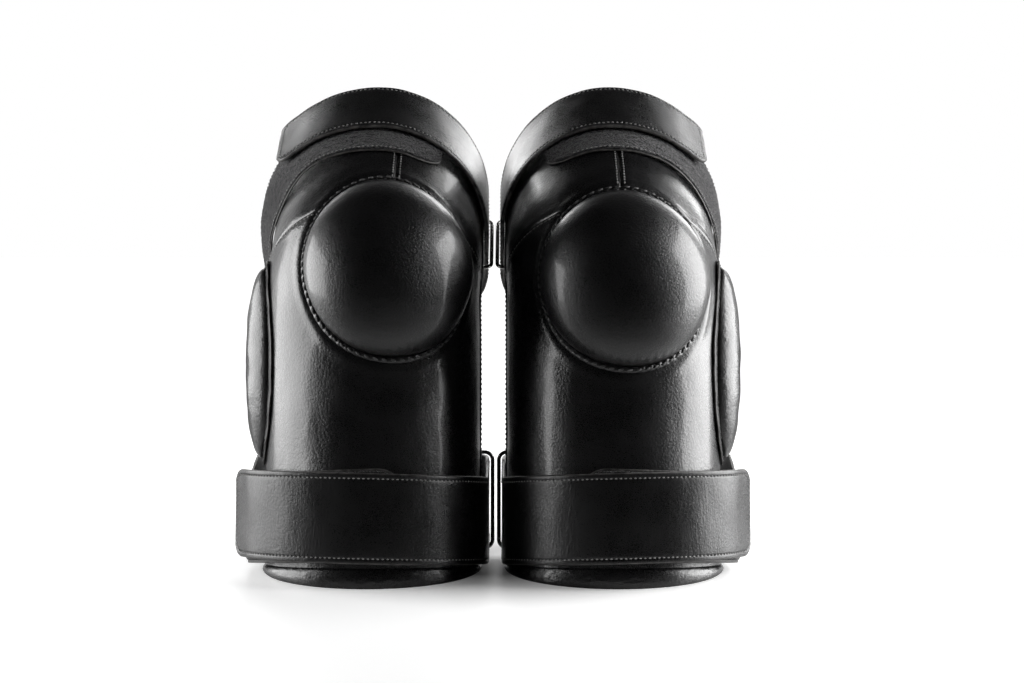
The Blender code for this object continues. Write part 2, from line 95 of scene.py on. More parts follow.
@dataclass(frozen=True)
class ShellForm:
    """The surface that every piece of a guard follows.

    A place on it is (k, v): k runs from -1 on the inner rear edge to 1 on the outer one, and v is the
    length up the front from the floor.
    """

    front_y: float
    spacing: float  # from the middle of the pair to the middle of a guard
    shin_lean: float = math.radians(8)
    thigh_lean: float = math.radians(61)
    bend_start: float = 0.204
    bend_radius: float = 0.130
    top: float = 0.4345
    seam: float = 0.2825  # where the shin panel meets the thigh panels
    shin_section: tuple[float, float] = (0.079, 0.076)
    thigh_section: tuple[float, float] = (0.080, 0.088)
    section_change: tuple[float, float] = (0.204, 0.348)
    shin_reach: float = 0.038
    thigh_reach: float = 0.014
    reach_change: tuple[float, float] = (0.135, 0.245)
    front_share: float = 0.8
    wall: float = 0.0103
    wall_base: float = 0.0042

    def lean(self, v: float) -> float:
        """Backward lean of the front line at length v."""
        bend = (v - self.bend_start) / self.bend_radius
        return self.shin_lean + min(self.thigh_lean - self.shin_lean, max(0.0, bend))

    def front(self, v: float) -> tuple[float, float]:
        """(y, z) of the front line at length v: straight, an arc, straight.

        Args:
            v: length up the front.

        Returns:
            y and z.
        """
        low, lean, radius = self.shin_lean, self.lean(v), self.bend_radius
        before = min(v, self.bend_start)
        after = max(0.0, v - self.bend_start - radius * (self.thigh_lean - low))
        y = before * math.sin(low) + radius * (math.cos(low) - math.cos(lean))
        z = before * math.cos(low) + radius * (math.sin(lean) - math.sin(low))
        return (
            self.front_y + y + after * math.sin(self.thigh_lean),
            z + after * math.cos(self.thigh_lean),
        )

    def section(self, v: float) -> tuple[float, float]:
        """Half width and depth of the rounded front at length v.

        Args:
            v: length up the front.

        Returns:
            The half width and the depth.
        """
        share = ease(v, *self.section_change)
        pairs = zip(self.shin_section, self.thigh_section)
        half, deep = (a + (b - a) * share for a, b in pairs)
        return half, deep

    def reach(self, v: float) -> float:
        """How far the straight sides go behind the rounded front."""
        change = self.thigh_reach - self.shin_reach
        return self.shin_reach + change * ease(v, *self.reach_change)

    def k_of(self, angle: float) -> float:
        """k for an angle from the front, in degrees."""
        return self.front_share * angle / 90

    def angle_of(self, k: float) -> float:
        """The angle from the front at k, in degrees."""
        return max(-90.0, min(90.0, 90 * k / self.front_share))

    def across(self, k: float, v: float, off: float) -> tuple[float, float]:
        """(x, depth behind the front line) at k, at off outside the leather's face.

        Args:
            k: station round the shell.
            v: length up the front.
            off: distance outside the leather's face.

        Returns:
            x and the depth.
        """
        half, deep = self.section(v)
        turn = math.radians(self.angle_of(k))
        past = max(0.0, (abs(k) - self.front_share) / (1 - self.front_share))
        x = (half + off) * math.sin(turn)
        return x, deep - (deep + off) * math.cos(turn) + past * self.reach(v)

    def skin(self, k: float, v: float, off: float) -> Vector:
        """The point at (k, v), at off outside the leather's face.

        Args:
            k: station round the shell.
            v: length up the front.
            off: distance outside the leather's face.

        Returns:
            The point.
        """
        x, depth = self.across(k, v, off)
        y, z = self.front(v)
        lean = self.lean(v)
        return Vector((x, y + depth * math.cos(lean), z - depth * math.sin(lean)))

    def normal(self, k: float, v: float) -> Vector:
        """The outward direction at (k, v)."""
        return (self.skin(k, v, 10 * MM) - self.skin(k, v, 0.0)).normalized()

    def floor_row(self, k: float, off: float, height: float) -> float:
        """The length v at which skin() is at a height above the floor, on the straight shin."""
        depth = self.across(k, 0.0, off)[1]
        return (height + depth * math.sin(self.shin_lean)) / math.cos(self.shin_lean)

    def settled(self, k: float, off: float, v: float) -> float:
        """v with the rows near the floor drawn up, so that the lowest one is level at the wall's foot.

        Args:
            k: station round the shell.
            off: distance outside the leather's face.
            v: length up the front, before.

        Returns:
            v to use instead.
        """
        level, base = 0.07, self.wall_base
        if v >= level:
            return v
        foot = self.floor_row(k, off, base)
        return foot + (max(v, base) - base) / (level - base) * (level - foot)

    def outer_side(self, y: float, z: float, off: float) -> Vector:
        """A point at off outside the outer side, over a place in the side view.

        Args:
            y: place in the side view.
            z: height in the side view.
            off: distance outside the leather's face.

        Returns:
            The point.
        """
        start_y, start_z = self.front(self.bend_start)
        back = (math.cos(self.shin_lean), -math.sin(self.shin_lean))
        along = (-back[1], back[0])
        offset = (y - start_y, z - start_z)
        if offset[0] * along[0] + offset[1] * along[1] < 0:
            depth = offset[0] * back[0] + offset[1] * back[1]
        else:
            centre = [self.bend_radius * part for part in back]
            depth = self.bend_radius - math.dist(offset, centre)
        half, deep = self.shin_section
        turn = math.acos(max(0.0, 1 - depth / deep))
        return Vector(((half + off) * math.sin(turn), y, z))


class Side(Enum):
    """Which guard of the pair: the value is the sign of its x."""

    RIGHT = 1
    LEFT = -1


@dataclass(frozen=True)
class GuardFit:
    """What is different on the two guards."""

    side: Side
    seam_angle: float  # of the seam above the dome, in degrees towards the outer side
    dome_angle: float
    dome_height: float
    dome_tall: float
    lower_inner: float
    upper_outer: float

    @property
    def label(self) -> str:
        """The first word of this guard's node names."""
        return self.side.name.lower()

    @property
    def body(self) -> str:
        """The body that the shell rides on."""
        return f"{self.label}_guard"


RIGHT = GuardFit(side=Side.RIGHT, seam_angle=3, dome_angle=6, dome_height=0.226, dome_tall=0.069,
                 lower_inner=0.0750, upper_outer=0.0850)
LEFT = GuardFit(side=Side.LEFT, seam_angle=-13, dome_angle=-14, dome_height=0.236, dome_tall=0.072,
                lower_inner=0.0780, upper_outer=0.0900)


# ---- shader groups ----


class Shade:
    """A node tree being wired, for a group or a material."""

    def __init__(self, tree: bpy.types.NodeTree) -> None:
        """Keeps the tree.

        Args:
            tree: the node tree that nodes are added to.
        """
        self.tree = tree

    def node(self, kind: str, **values: object) -> bpy.types.Node:
        """Adds a node and fills in its sockets and settings.

        Args:
            kind: the node's type, without the ShaderNode that it starts with.
            values: sockets by name, with _ for a space, or settings by name. A socket value links.

        Returns:
            The node.
        """
        made = self.tree.nodes.new(f"ShaderNode{kind}")
        for key, value in values.items():
            name = key.replace("_", " ")
            if name in made.inputs:
                self.feed(made.inputs[name], value)
            else:
                setattr(made, key, value)
        return made

    def feed(self, socket: bpy.types.NodeSocket, value: object) -> None:
        """Links a socket, or sets its value.

        Args:
            socket: an input.
            value: a socket to link, or a plain value.
        """
        if isinstance(value, bpy.types.NodeSocket):
            self.tree.links.new(value, socket)
        else:
            socket.default_value = value

    def math(self, operation: str, *values: object) -> bpy.types.NodeSocket:
        """The result of a Math node over values or sockets.

        Args:
            operation: the node's operation.
            values: one for each input.

        Returns:
            The output socket.
        """
        made = self.tree.nodes.new("ShaderNodeMath")
        made.operation = operation
        for socket, value in zip(made.inputs, values):
            self.feed(socket, value)
        return made.outputs[0]

    def ranged(self, value: object, low: float, high: float, to: tuple[float, float]) -> object:
        """value from low..high brought to a new range, clamped.

        Args:
            value: a socket.
            low: start of its range.
            high: end of its range.
            to: the new range.

        Returns:
            The output socket.
        """
        made = self.node("MapRange", From_Min=low, From_Max=high, To_Min=to[0], To_Max=to[1])
        self.feed(made.inputs["Value"], value)
        return made.outputs["Result"]

    def mix(self, factor: object, first: object, second: object) -> bpy.types.NodeSocket:
        """A colour between two, by factor.

        Args:
            factor: 0 for the first colour, 1 for the second.
            first: a colour.
            second: a colour.

        Returns:
            The output socket.
        """
        made = self.tree.nodes.new("ShaderNodeMix")
        made.data_type = "RGBA"
        self.feed(made.inputs["Factor"], factor)
        colours = [socket for socket in made.inputs if socket.type == "RGBA"]
        self.feed(colours[0], first)
        self.feed(colours[1], second)
        return next(socket for socket in made.outputs if socket.type == "RGBA")

    def place(self, scale: tuple[float, float, float] = (1, 1, 1)) -> bpy.types.NodeSocket:
        """The object's own coordinates, stretched.

        Args:
            scale: repeats for each metre, by axis.

        Returns:
            The output socket.
        """
        coords = self.node("TexCoord")
        mapped = self.node("Mapping", Vector=coords.outputs["Object"], Scale=scale)
        return mapped.outputs["Vector"]


def new_group(name: str, inputs: dict[str, float], outputs: Sequence[str]) -> bpy.types.NodeTree:
    """An empty shader group with float sockets.

    Args:
        name: the group's name.
        inputs: input names with their defaults.
        outputs: output names.

    Returns:
        The group, with its input and output nodes in place.
    """
    group = bpy.data.node_groups.new(name, "ShaderNodeTree")
    for key, default in inputs.items():
        socket = group.interface.new_socket(key, in_out="INPUT", socket_type="NodeSocketFloat")
        socket.default_value = default
    for key in outputs:
        group.interface.new_socket(key, in_out="OUTPUT", socket_type="NodeSocketFloat")
    group.nodes.new("NodeGroupInput")
    group.nodes.new("NodeGroupOutput")
    return group


def group_ends(group: bpy.types.NodeTree) -> tuple[bpy.types.Node, bpy.types.Node]:
    """The group's input and output nodes."""
    nodes = {node.bl_idname: node for node in group.nodes}
    return nodes["NodeGroupInput"], nodes["NodeGroupOutput"]


def hide_grain_group() -> bpy.types.NodeTree:
    """Leather grain: pebbled cells broken by pores, over slow hollows in the hide.

    Returns:
        A group that puts out Height, in millimetres, Pores from 0 to 1 and Mottle from 0 to 1.
    """
    defaults = {"Cell": 1.3, "Pebble": 0.06, "Pore": 0.03, "Hollow": 0.25}
    group = new_group("hide_grain", defaults, ("Height", "Pores", "Mottle"))
    start, end = group_ends(group)
    shade = Shade(group)
    where = shade.place((1000, 1000, 1000))
    warp = shade.node("TexNoise", Vector=where, Scale=0.35, Detail=2.0)
    bent = shade.node("VectorMath", operation="ADD")
    shade.feed(bent.inputs[0], where)
    shade.feed(bent.inputs[1], warp.outputs["Color"])
    density = shade.math("DIVIDE", 1.0, start.outputs["Cell"])
    cells = shade.node("TexVoronoi", Vector=bent.outputs[0], Scale=density)
    fine = shade.node("TexNoise", Vector=where, Detail=4.0, Roughness=0.65)
    shade.feed(fine.inputs["Scale"], shade.math("MULTIPLY", density, 2.6))
    slow = shade.node("TexNoise", Vector=where, Scale=0.028, Detail=3.0, Roughness=0.5)
    pebble = shade.math("MULTIPLY", shade.math("SUBTRACT", 1.0, cells.outputs["Distance"]),
                        start.outputs["Pebble"])
    pore = shade.math("MULTIPLY", fine.outputs["Fac"], start.outputs["Pore"])
    hollow = shade.math("MULTIPLY", slow.outputs["Fac"], start.outputs["Hollow"])
    height = shade.math("ADD", shade.math("ADD", pebble, pore), hollow)
    shade.feed(end.inputs["Height"], height)
    shade.feed(end.inputs["Pores"], shade.ranged(fine.outputs["Fac"], 0.35, 0.65, (0.0, 1.0)))
    shade.feed(end.inputs["Mottle"], shade.ranged(slow.outputs["Fac"], 0.35, 0.65, (0.0, 1.0)))
    return group


def crease_group() -> bpy.types.NodeTree:
    """Fine creases that run along one axis, as where a strap has been bent again and again.

    Returns:
        A group that puts out Height, in millimetres.
    """
    group = new_group("strap_creases", {"Depth": 0.1}, ("Height",))
    start, end = group_ends(group)
    shade = Shade(group)
    where = shade.place((420, 420, 45))
    warp = shade.node("TexNoise", Vector=where, Scale=0.4, Detail=3.0)
    bent = shade.node("VectorMath", operation="MULTIPLY_ADD")
    shade.feed(bent.inputs[0], warp.outputs["Color"])
    shade.feed(bent.inputs[1], (1.6, 1.6, 1.6))
    shade.feed(bent.inputs[2], where)
    lines = shade.node("TexNoise", Vector=bent.outputs[0], Scale=0.9, Detail=4.0, Roughness=0.6)
    ridged = shade.math("ABSOLUTE", shade.math("SUBTRACT", lines.outputs["Fac"], 0.5))
    shade.feed(end.inputs["Height"], shade.math("MULTIPLY", ridged, start.outputs["Depth"]))
    return group


def edge_wear_and_highlight_group() -> bpy.types.NodeTree:
    """Cut and folded edges rubbed lighter, in places a painted highlight, from the mask painted on the mesh.

    Returns:
        A group that puts out Mask from 0 to 1.
    """
    group = new_group("edge_wear_and_highlight", {"Amount": 1.0}, ("Mask",))
    start, end = group_ends(group)
    shade = Shade(group)
    painted = shade.node("Attribute", attribute_name="wear_and_highlight")
    patches = shade.node("TexNoise", Vector=shade.place((160, 160, 160)), Scale=1.0, Detail=5.0)
    broken = shade.ranged(patches.outputs["Fac"], 0.32, 0.62, (0.15, 1.0))
    worn_and_highlit = shade.math("MULTIPLY", painted.outputs["Fac"], broken)
    shade.feed(end.inputs["Mask"], shade.math("MULTIPLY", worn_and_highlit, start.outputs["Amount"]))
    return group


def dust_group() -> bpy.types.NodeTree:
    """A few pale specks of dust and lint on dark leather.

    Returns:
        A group that puts out Mask from 0 to 1.
    """
    group = new_group("dust_specks", {"Amount": 1.0}, ("Mask",))
    start, end = group_ends(group)
    shade = Shade(group)
    dots = shade.node("TexVoronoi", Vector=shade.place((260, 260, 260)), Scale=1.0, Randomness=1.0)
    near = shade.ranged(dots.outputs["Distance"], 0.03, 0.07, (1.0, 0.0))
    chosen = shade.node("TexNoise", Vector=shade.place((90, 90, 90)), Scale=1.0, Detail=2.0)
    few = shade.ranged(chosen.outputs["Fac"], 0.60, 0.66, (0.0, 1.0))
    specks = shade.math("MULTIPLY", near, few)
    shade.feed(end.inputs["Mask"], shade.math("MULTIPLY", specks, start.outputs["Amount"]))
    return group


def nap_group() -> bpy.types.NodeTree:
    """Brushed loops: clumped fibres that lie every way.

    Returns:
        A group that puts out Height, in millimetres, and Tone from 0 to 1.
    """
    group = new_group("brushed_nap", {"Clump": 1.6, "Depth": 0.35}, ("Height", "Tone"))
    start, end = group_ends(group)
    shade = Shade(group)
    where = shade.place((1000, 1000, 1000))
    density = shade.math("DIVIDE", 1.0, start.outputs["Clump"])
    clumps = shade.node("TexNoise", Vector=where, Scale=density, Detail=5.0, Roughness=0.75)
    shade.feed(clumps.inputs["Distortion"], 1.2)
    loops = shade.node("TexVoronoi", Vector=where, Scale=shade.math("MULTIPLY", density, 2.4))
    rough = shade.math("ADD", clumps.outputs["Fac"], shade.math("MULTIPLY", loops.outputs["Distance"], 0.5))
    shade.feed(end.inputs["Height"], shade.math("MULTIPLY", rough, start.outputs["Depth"]))
    shade.feed(end.inputs["Tone"], shade.ranged(rough, 0.62, 0.95, (0.0, 1.0)))
    return group


def weave_group() -> bpy.types.NodeTree:
    """A plain weave laid out in the piece's own height and round it.

    Returns:
        A group that puts out Height, in millimetres, and Thread from 0 to 1.
    """
    group = new_group("plain_weave", {"Pitch": 0.9, "Depth": 0.12}, ("Height", "Thread"))
    start, end = group_ends(group)
    shade = Shade(group)
    where = shade.place((1000, 1000, 1000))
    apart = shade.node("SeparateXYZ", Vector=where)
    rate = shade.math("DIVIDE", 2 * math.pi, start.outputs["Pitch"])
    spread = shade.math("ADD", apart.outputs["X"], apart.outputs["Y"])
    warp = shade.math("SINE", shade.math("MULTIPLY", spread, rate))
    weft = shade.math("SINE", shade.math("MULTIPLY", apart.outputs["Z"], rate))
    crossed = shade.math("MULTIPLY", warp, weft)
    fuzz = shade.node("TexNoise", Vector=where, Scale=2.5, Detail=3.0)
    mixed = shade.math("ADD", shade.math("MULTIPLY", crossed, 0.5), fuzz.outputs["Fac"])
    shade.feed(end.inputs["Height"], shade.math("MULTIPLY", mixed, start.outputs["Depth"]))
    shade.feed(end.inputs["Thread"], shade.ranged(mixed, 0.0, 1.0, (0.0, 1.0)))
    return group


class Groups:
    """The shared shader groups, each built once."""

    def __init__(self) -> None:
        """Builds every group."""
        self.grain = hide_grain_group()
        self.creases = crease_group()
        self.wear_and_highlight = edge_wear_and_highlight_group()
        self.dust = dust_group()
        self.nap = nap_group()
        self.weave = weave_group()


# ---- finishes ----


class Finish:
    """A finish that makes one Principled material, when it is first asked for."""

    name: str
    groups: Groups

    def start(self) -> tuple[bpy.types.Material, Shade, bpy.types.Node]:
        """A new material, its shade helper and its Principled node.

        Returns:
            The material, the helper and the node.
        """
        material = bpy.data.materials.new(self.name)
        material.use_nodes = True
        shader = material.node_tree.nodes["Principled BSDF"]
        return material, Shade(material.node_tree), shader

    def add_group(self, shade: Shade, group: bpy.types.NodeTree, **values: float) -> bpy.types.Node:
        """Places a shared group in a material with its own values.

        Args:
            shade: the material's nodes.
            group: the shared group.
            values: its inputs by name.

        Returns:
            The group node.
        """
        made = shade.tree.nodes.new("ShaderNodeGroup")
        made.node_tree = group
        for key, value in values.items():
            made.inputs[key].default_value = value
        return made

    def raise_surface(self, shade: Shade, shader: bpy.types.Node, height: object, strength: float) -> None:
        """Feeds a height in millimetres to the shader's normal through a Bump node."""
        bump = shade.node("Bump", Strength=strength, Distance=MM, Height=height)
        shade.feed(shader.inputs["Normal"], bump.outputs["Normal"])


@dataclass(frozen=True)
class LeatherFinish(Finish):
    """Dyed leather with grain, edges paler from wear and painted highlight, dust and, on straps, creases."""

    name: str
    groups: Groups
    dye: tuple[float, float, float] = (0.0050, 0.0049, 0.0053)
    rubbed_and_highlight: tuple[float, float, float] = (0.075, 0.072, 0.068)
    gloss: tuple[float, float] = (0.20, 0.34)
    cell: float = 1.9
    pebble: float = 0.16
    pore: float = 0.12
    hollow: float = 0.30
    crease: float = 0.0
    dust: float = 0.5
    coat: float = 0.3
    bump: float = 0.9

    def make(self) -> bpy.types.Material:
        """Builds the material.

        Returns:
            The material.
        """
        material, shade, shader = self.start()
        grain = self.add_group(shade, self.groups.grain, Cell=self.cell, Pebble=self.pebble,
                               Pore=self.pore, Hollow=self.hollow)
        wear_and_highlight = self.add_group(shade, self.groups.wear_and_highlight, Amount=0.8)
        dust = self.add_group(shade, self.groups.dust, Amount=self.dust)
        mottled = shade.mix(grain.outputs["Mottle"], (*self.dye, 1),
                            (*(1.7 * part for part in self.dye), 1))
        # Paler edges: wear, and on the straps and the dome's margin a painted highlight.
        worn_and_highlit = shade.mix(wear_and_highlight.outputs["Mask"], mottled, (*self.rubbed_and_highlight, 1))
        dusty = shade.mix(dust.outputs["Mask"], worn_and_highlit, (0.25, 0.24, 0.22, 1))
        shade.feed(shader.inputs["Base Color"], dusty)
        low, high = self.gloss
        shine = shade.ranged(grain.outputs["Pores"], 0.0, 1.0, (low, high))
        rough = shade.math("ADD", shine, shade.math("MULTIPLY", grain.outputs["Mottle"], 0.06))
        rubbed_and_highlight = shade.math("MULTIPLY", wear_and_highlight.outputs["Mask"], 0.18)
        shade.feed(shader.inputs["Roughness"], shade.math("ADD", rough, rubbed_and_highlight))
        shader.inputs["Coat Weight"].default_value = self.coat
        shader.inputs["Coat Roughness"].default_value = 0.14
        height = grain.outputs["Height"]
        if self.crease:
            creases = self.add_group(shade, self.groups.creases, Depth=self.crease)
            height = shade.math("ADD", height, creases.outputs["Height"])
        self.raise_surface(shade, shader, height, self.bump)
        return material


@dataclass(frozen=True)
class NapFinish(Finish):
    """Loop fabric and foam: a fibrous surface with sheen."""

    name: str
    groups: Groups
    dark: tuple[float, float, float] = (0.005, 0.005, 0.006)
    light: tuple[float, float, float] = (0.046, 0.044, 0.046)
    clump: float = 2.2
    depth: float = 1.3
    sheen: float = 0.35

    def make(self) -> bpy.types.Material:
        """Builds the material.

        Returns:
            The material.
        """
        material, shade, shader = self.start()
        nap = self.add_group(shade, self.groups.nap, Clump=self.clump, Depth=self.depth)
        tint = shade.mix(nap.outputs["Tone"], (*self.dark, 1), (*self.light, 1))
        shade.feed(shader.inputs["Base Color"], tint)
        shader.inputs["Roughness"].default_value = 0.95
        shader.inputs["Sheen Weight"].default_value = self.sheen
        shader.inputs["Sheen Roughness"].default_value = 0.45
        self.raise_surface(shade, shader, nap.outputs["Height"], 1.0)
        return material


@dataclass(frozen=True)
class WeaveFinish(Finish):
    """Woven lining cloth, thread and tape."""

    name: str
    groups: Groups
    dark: tuple[float, float, float] = (0.012, 0.012, 0.013)
    light: tuple[float, float, float] = (0.045, 0.044, 0.046)
    pitch: float = 0.9
    depth: float = 0.15
    roughness: float = 0.85
    sheen: float = 0.1

    def make(self) -> bpy.types.Material:
        """Builds the material.

        Returns:
            The material.
        """
        material, shade, shader = self.start()
        weave = self.add_group(shade, self.groups.weave, Pitch=self.pitch, Depth=self.depth)
        tint = shade.mix(weave.outputs["Thread"], (*self.dark, 1), (*self.light, 1))
        shade.feed(shader.inputs["Base Color"], tint)
        shader.inputs["Roughness"].default_value = self.roughness
        shader.inputs["Sheen Weight"].default_value = self.sheen
        self.raise_surface(shade, shader, weave.outputs["Height"], 1.0)
        return material


@dataclass(frozen=True)
class PlateFinish(Finish):
    """Nickel plate with faint drawing marks and duller patches."""

    name: str
    groups: Groups

    def make(self) -> bpy.types.Material:
        """Builds the material.

        Returns:
            The material.
        """
        material, shade, shader = self.start()
        haze = shade.node("TexNoise", Vector=shade.place((220, 220, 60)), Scale=1.0, Detail=4.0)
        tint = shade.mix(haze.outputs["Fac"], (0.14, 0.14, 0.135, 1), (0.27, 0.265, 0.26, 1))
        shade.feed(shader.inputs["Base Color"], tint)
        shader.inputs["Metallic"].default_value = 1.0
        shade.feed(shader.inputs["Roughness"], shade.ranged(haze.outputs["Fac"], 0.3, 0.7, (0.14, 0.32)))
        self.raise_surface(shade, shader, shade.math("MULTIPLY", haze.outputs["Fac"], 0.02), 1.0)
        return material


@dataclass(frozen=True)
class MouldedFinish(Finish):
    """Moulded plastic with a fine spark-eroded texture."""

    name: str
    groups: Groups

    def make(self) -> bpy.types.Material:
        """Builds the material.

        Returns:
            The material.
        """
        material, shade, shader = self.start()
        spark = shade.node("TexNoise", Vector=shade.place((1800, 1800, 1800)), Scale=1.0, Detail=3.0)
        tint = shade.mix(spark.outputs["Fac"], (0.035, 0.035, 0.036, 1), (0.06, 0.06, 0.061, 1))
        shade.feed(shader.inputs["Base Color"], tint)
        shade.feed(shader.inputs["Roughness"], shade.ranged(spark.outputs["Fac"], 0.3, 0.7, (0.42, 0.58)))
        self.raise_surface(shade, shader, shade.math("MULTIPLY", spark.outputs["Fac"], 0.05), 1.0)
        return material


class Finishes:
    """Every finish on the guards."""

    def __init__(self) -> None:
        """Makes the materials."""
        groups = Groups()
        self.leather = LeatherFinish("shell_leather", groups).make()
        self.dome = LeatherFinish("dome_leather", groups, gloss=(0.20, 0.36), cell=1.6, pebble=0.20,
                                  pore=0.20, hollow=0.15, coat=0.35).make()
        self.roll = LeatherFinish("roll_leather", groups, gloss=(0.20, 0.34), hollow=0.30).make()
        # The strap's pale edges are partly edge wear, partly a painted highlight where the edges catch the
        # light.
        self.strap = LeatherFinish("strap_leather_face", groups, dye=(0.0046, 0.0045, 0.0048),
                                   rubbed_and_highlight=(0.16, 0.155, 0.15), gloss=(0.22, 0.33), pebble=0.10,
                                   hollow=0.2, crease=0.32, coat=0.0).make()
        self.binding = LeatherFinish("binding_leather", groups, rubbed_and_highlight=(0.13, 0.125, 0.12),
                                     gloss=(0.34, 0.46), crease=0.3, coat=0.0).make()
        self.loop = NapFinish("loop_face", groups).make()
        self.hook = NapFinish("hook_face", groups, clump=1.1, depth=0.7, sheen=0.0,
                              light=(0.035, 0.035, 0.038)).make()
        self.foam = NapFinish("foam_cells", groups, dark=(0.05, 0.05, 0.055), light=(0.11, 0.11, 0.12),
                              clump=0.8, depth=0.25, sheen=0.0).make()
        self.lining = NapFinish("lining_suede_face", groups, dark=(0.022, 0.021, 0.020),
                                light=(0.085, 0.080, 0.076), clump=4.0, depth=0.5, sheen=0.3).make()
        self.thread = WeaveFinish("waxed_thread", groups, dark=(0.14, 0.138, 0.135),
                                  light=(0.46, 0.455, 0.45), pitch=0.45, depth=0.08,
                                  roughness=0.5).make()
        # The cord's grey threads, lighter than black, stand in for glints on the stitches: painted highlight.
        self.cord = WeaveFinish("black_cord", groups, dark=(0.030, 0.030, 0.030),
                                light=(0.12, 0.12, 0.12), pitch=0.5, depth=0.1,
                                roughness=0.5, sheen=0.0).make()
        self.plate = PlateFinish("nickel_plate", groups).make()
        self.plastic = MouldedFinish("cup_plastic_texture", groups).make()


# ---- mesh work ----


def bent_grid(columns: int, rows: int, place: Callable[[int, int], Spot]) -> bmesh.types.BMesh:
    """A flat grid whose point at column i and row j goes to place(i, j).

    Args:
        columns: faces across.
        rows: faces up.
        place: gives each point its position and its wear and painted highlight.

    Returns:
        The mesh, with wear and painted highlight as a point layer.
    """
    work = bmesh.new()
    bmesh.ops.create_grid(work, x_segments=columns, y_segments=rows, size=0.5)
    wear_and_highlight = work.verts.layers.float.new("wear_and_highlight")
    for vert in work.verts:
        i = round((vert.co.x + 0.5) * columns)
        j = round((vert.co.y + 0.5) * rows)
        vert.co, vert[wear_and_highlight] = place(i, j)
    return work


def disc_patch(steps: int, place: Callable[[float, float], Spot]) -> bmesh.types.BMesh:
    """A round patch from a square grid pressed into a circle, so that it has no pole.

    Args:
        steps: faces across.
        place: takes (share of the radius, turn) and gives the point.

    Returns:
        The mesh.
    """

    def pressed(i: int, j: int) -> Spot:
        """Presses a point of the square into the circle.

        Args:
            i: column.
            j: row.

        Returns:
            The point and its wear.
        """
        a, b = 2 * i / steps - 1, 2 * j / steps - 1
        p, q = a * math.sqrt(1 - b * b / 2), b * math.sqrt(1 - a * a / 2)
        return place(min(1.0, math.hypot(p, q)), math.atan2(q, p))

    return bent_grid(steps, steps, pressed)


def close_tube(work: bmesh.types.BMesh, capped: bool) -> None:
    """Welds a grid that has been rolled into a tube, and closes its ends.

    Args:
        work: the rolled grid.
        capped: whether its ends are closed.
    """
    bmesh.ops.remove_doubles(work, verts=work.verts, dist=0.01 * MM)
    if capped:
        rims = [edge for edge in work.edges if edge.is_boundary]
        for edge in rims:
            edge.smooth = False
        bmesh.ops.holes_fill(work, edges=rims, sides=0)


def spaced(start: float, end: float, count: int) -> list[float]:
    """Evenly spaced values from start to end."""
    return [start + (end - start) * n / count for n in range(count + 1)]


def doubled(stations: list[tuple[float, float]]) -> list[tuple[float, float]]:
    """The same stations, with one more halfway between each two.

    Args:
        stations: pairs of values.

    Returns:
        The longer list.
    """
    fine = [stations[0]]
    for (u0, c0), (u1, c1) in zip(stations, stations[1:]):
        fine += [((u0 + u1) / 2, (c0 + c1) / 2), (u1, c1)]
    return fine


def sewn(tracks: Iterable[Track], pitch: float, length: float, radius: float, lift: float = 0.0,
         twist: float = 0.0) -> bmesh.types.BMesh:
    """Stitches along lines on a surface.

    Args:
        tracks: the lines, each with points and normals.
        pitch: from one stitch to the next.
        length: of the thread that shows.
        radius: of the thread.
        lift: of the thread's middle over the line.
        twist: how far each stitch is turned out of line, in radians.

    Returns:
        One small rounded body for each stitch.
    """
    places = [place for track in tracks for place in stitch_places(track, pitch, lift)]
    work, batch = bmesh.new(), bmesh.new()
    scrap = bpy.data.meshes.new("stitch_batch")
    for n, (middle, along, normal) in enumerate(places):
        across = normal.cross(along).normalized()
        along = (along * math.cos(twist) + across * math.sin(twist)).normalized()
        across = normal.cross(along).normalized()
        turned = Matrix((along * length / 2, across * radius, normal * radius * 0.8)).transposed()
        matrix = Matrix.Translation(middle) @ turned.to_4x4()
        bmesh.ops.create_uvsphere(batch, u_segments=6, v_segments=5, radius=1.0, matrix=matrix)
        if n % 50 == 49 or n == len(places) - 1:
            batch.to_mesh(scrap)
            batch.clear()
            work.from_mesh(scrap)
    batch.free()
    bpy.data.meshes.remove(scrap)
    work.verts.layers.float.new("wear_and_highlight")
    return work


def stitch_places(track: Track, pitch: float, lift: float) -> list[tuple[Vector, Vector, Vector]]:
    """The middle, direction and normal of each stitch along one line.

    Args:
        track: the line.
        pitch: from one stitch to the next.
        lift: height over the line.

    Returns:
        One (middle, direction, normal) for each stitch.
    """
    lengths = [0.0]
    for (here, _), (there, _) in zip(track, track[1:]):
        lengths.append(lengths[-1] + (there - here).length)
    count = max(1, int(lengths[-1] / pitch))
    places, index = [], 0
    for n in range(count):
        at = (n + 0.5) * lengths[-1] / count
        while lengths[index + 1] < at and index < len(lengths) - 2:
            index += 1
        (here, up), (there, up_there) = track[index], track[index + 1]
        share = (at - lengths[index]) / max(1e-9, lengths[index + 1] - lengths[index])
        normal = up.lerp(up_there, share).normalized()
        places.append((here.lerp(there, share) + lift * normal, (there - here).normalized(), normal))
    return places


def tube(path: Sequence[Vector], radius: float, sides: int) -> bmesh.types.BMesh:
    """A round wire along a closed path that lies in a plane.

    Args:
        path: points in order, without a repeat of the first.
        radius: of the wire.
        sides: faces round it.

    Returns:
        The closed mesh.
    """
    count = len(path)
    middle = sum(path, Vector()) / count
    flat = (path[0] - middle).cross(path[count // 4] - middle).normalized()

    def place(i: int, j: int) -> Spot:
        """A point round the wire.

        Args:
            i: column.
            j: row.

        Returns:
            The point and its wear.
        """
        here = path[i % count]
        along = (path[(i + 1) % count] - path[(i - 1) % count]).normalized()
        out = along.cross(flat)
        turn = 2 * math.pi * (j % sides) / sides
        return here + radius * (out * math.cos(turn) + flat * math.sin(turn)), 0.0

    work = bent_grid(count, sides, place)
    close_tube(work, capped=False)
    bmesh.ops.recalc_face_normals(work, faces=work.faces)
    return work


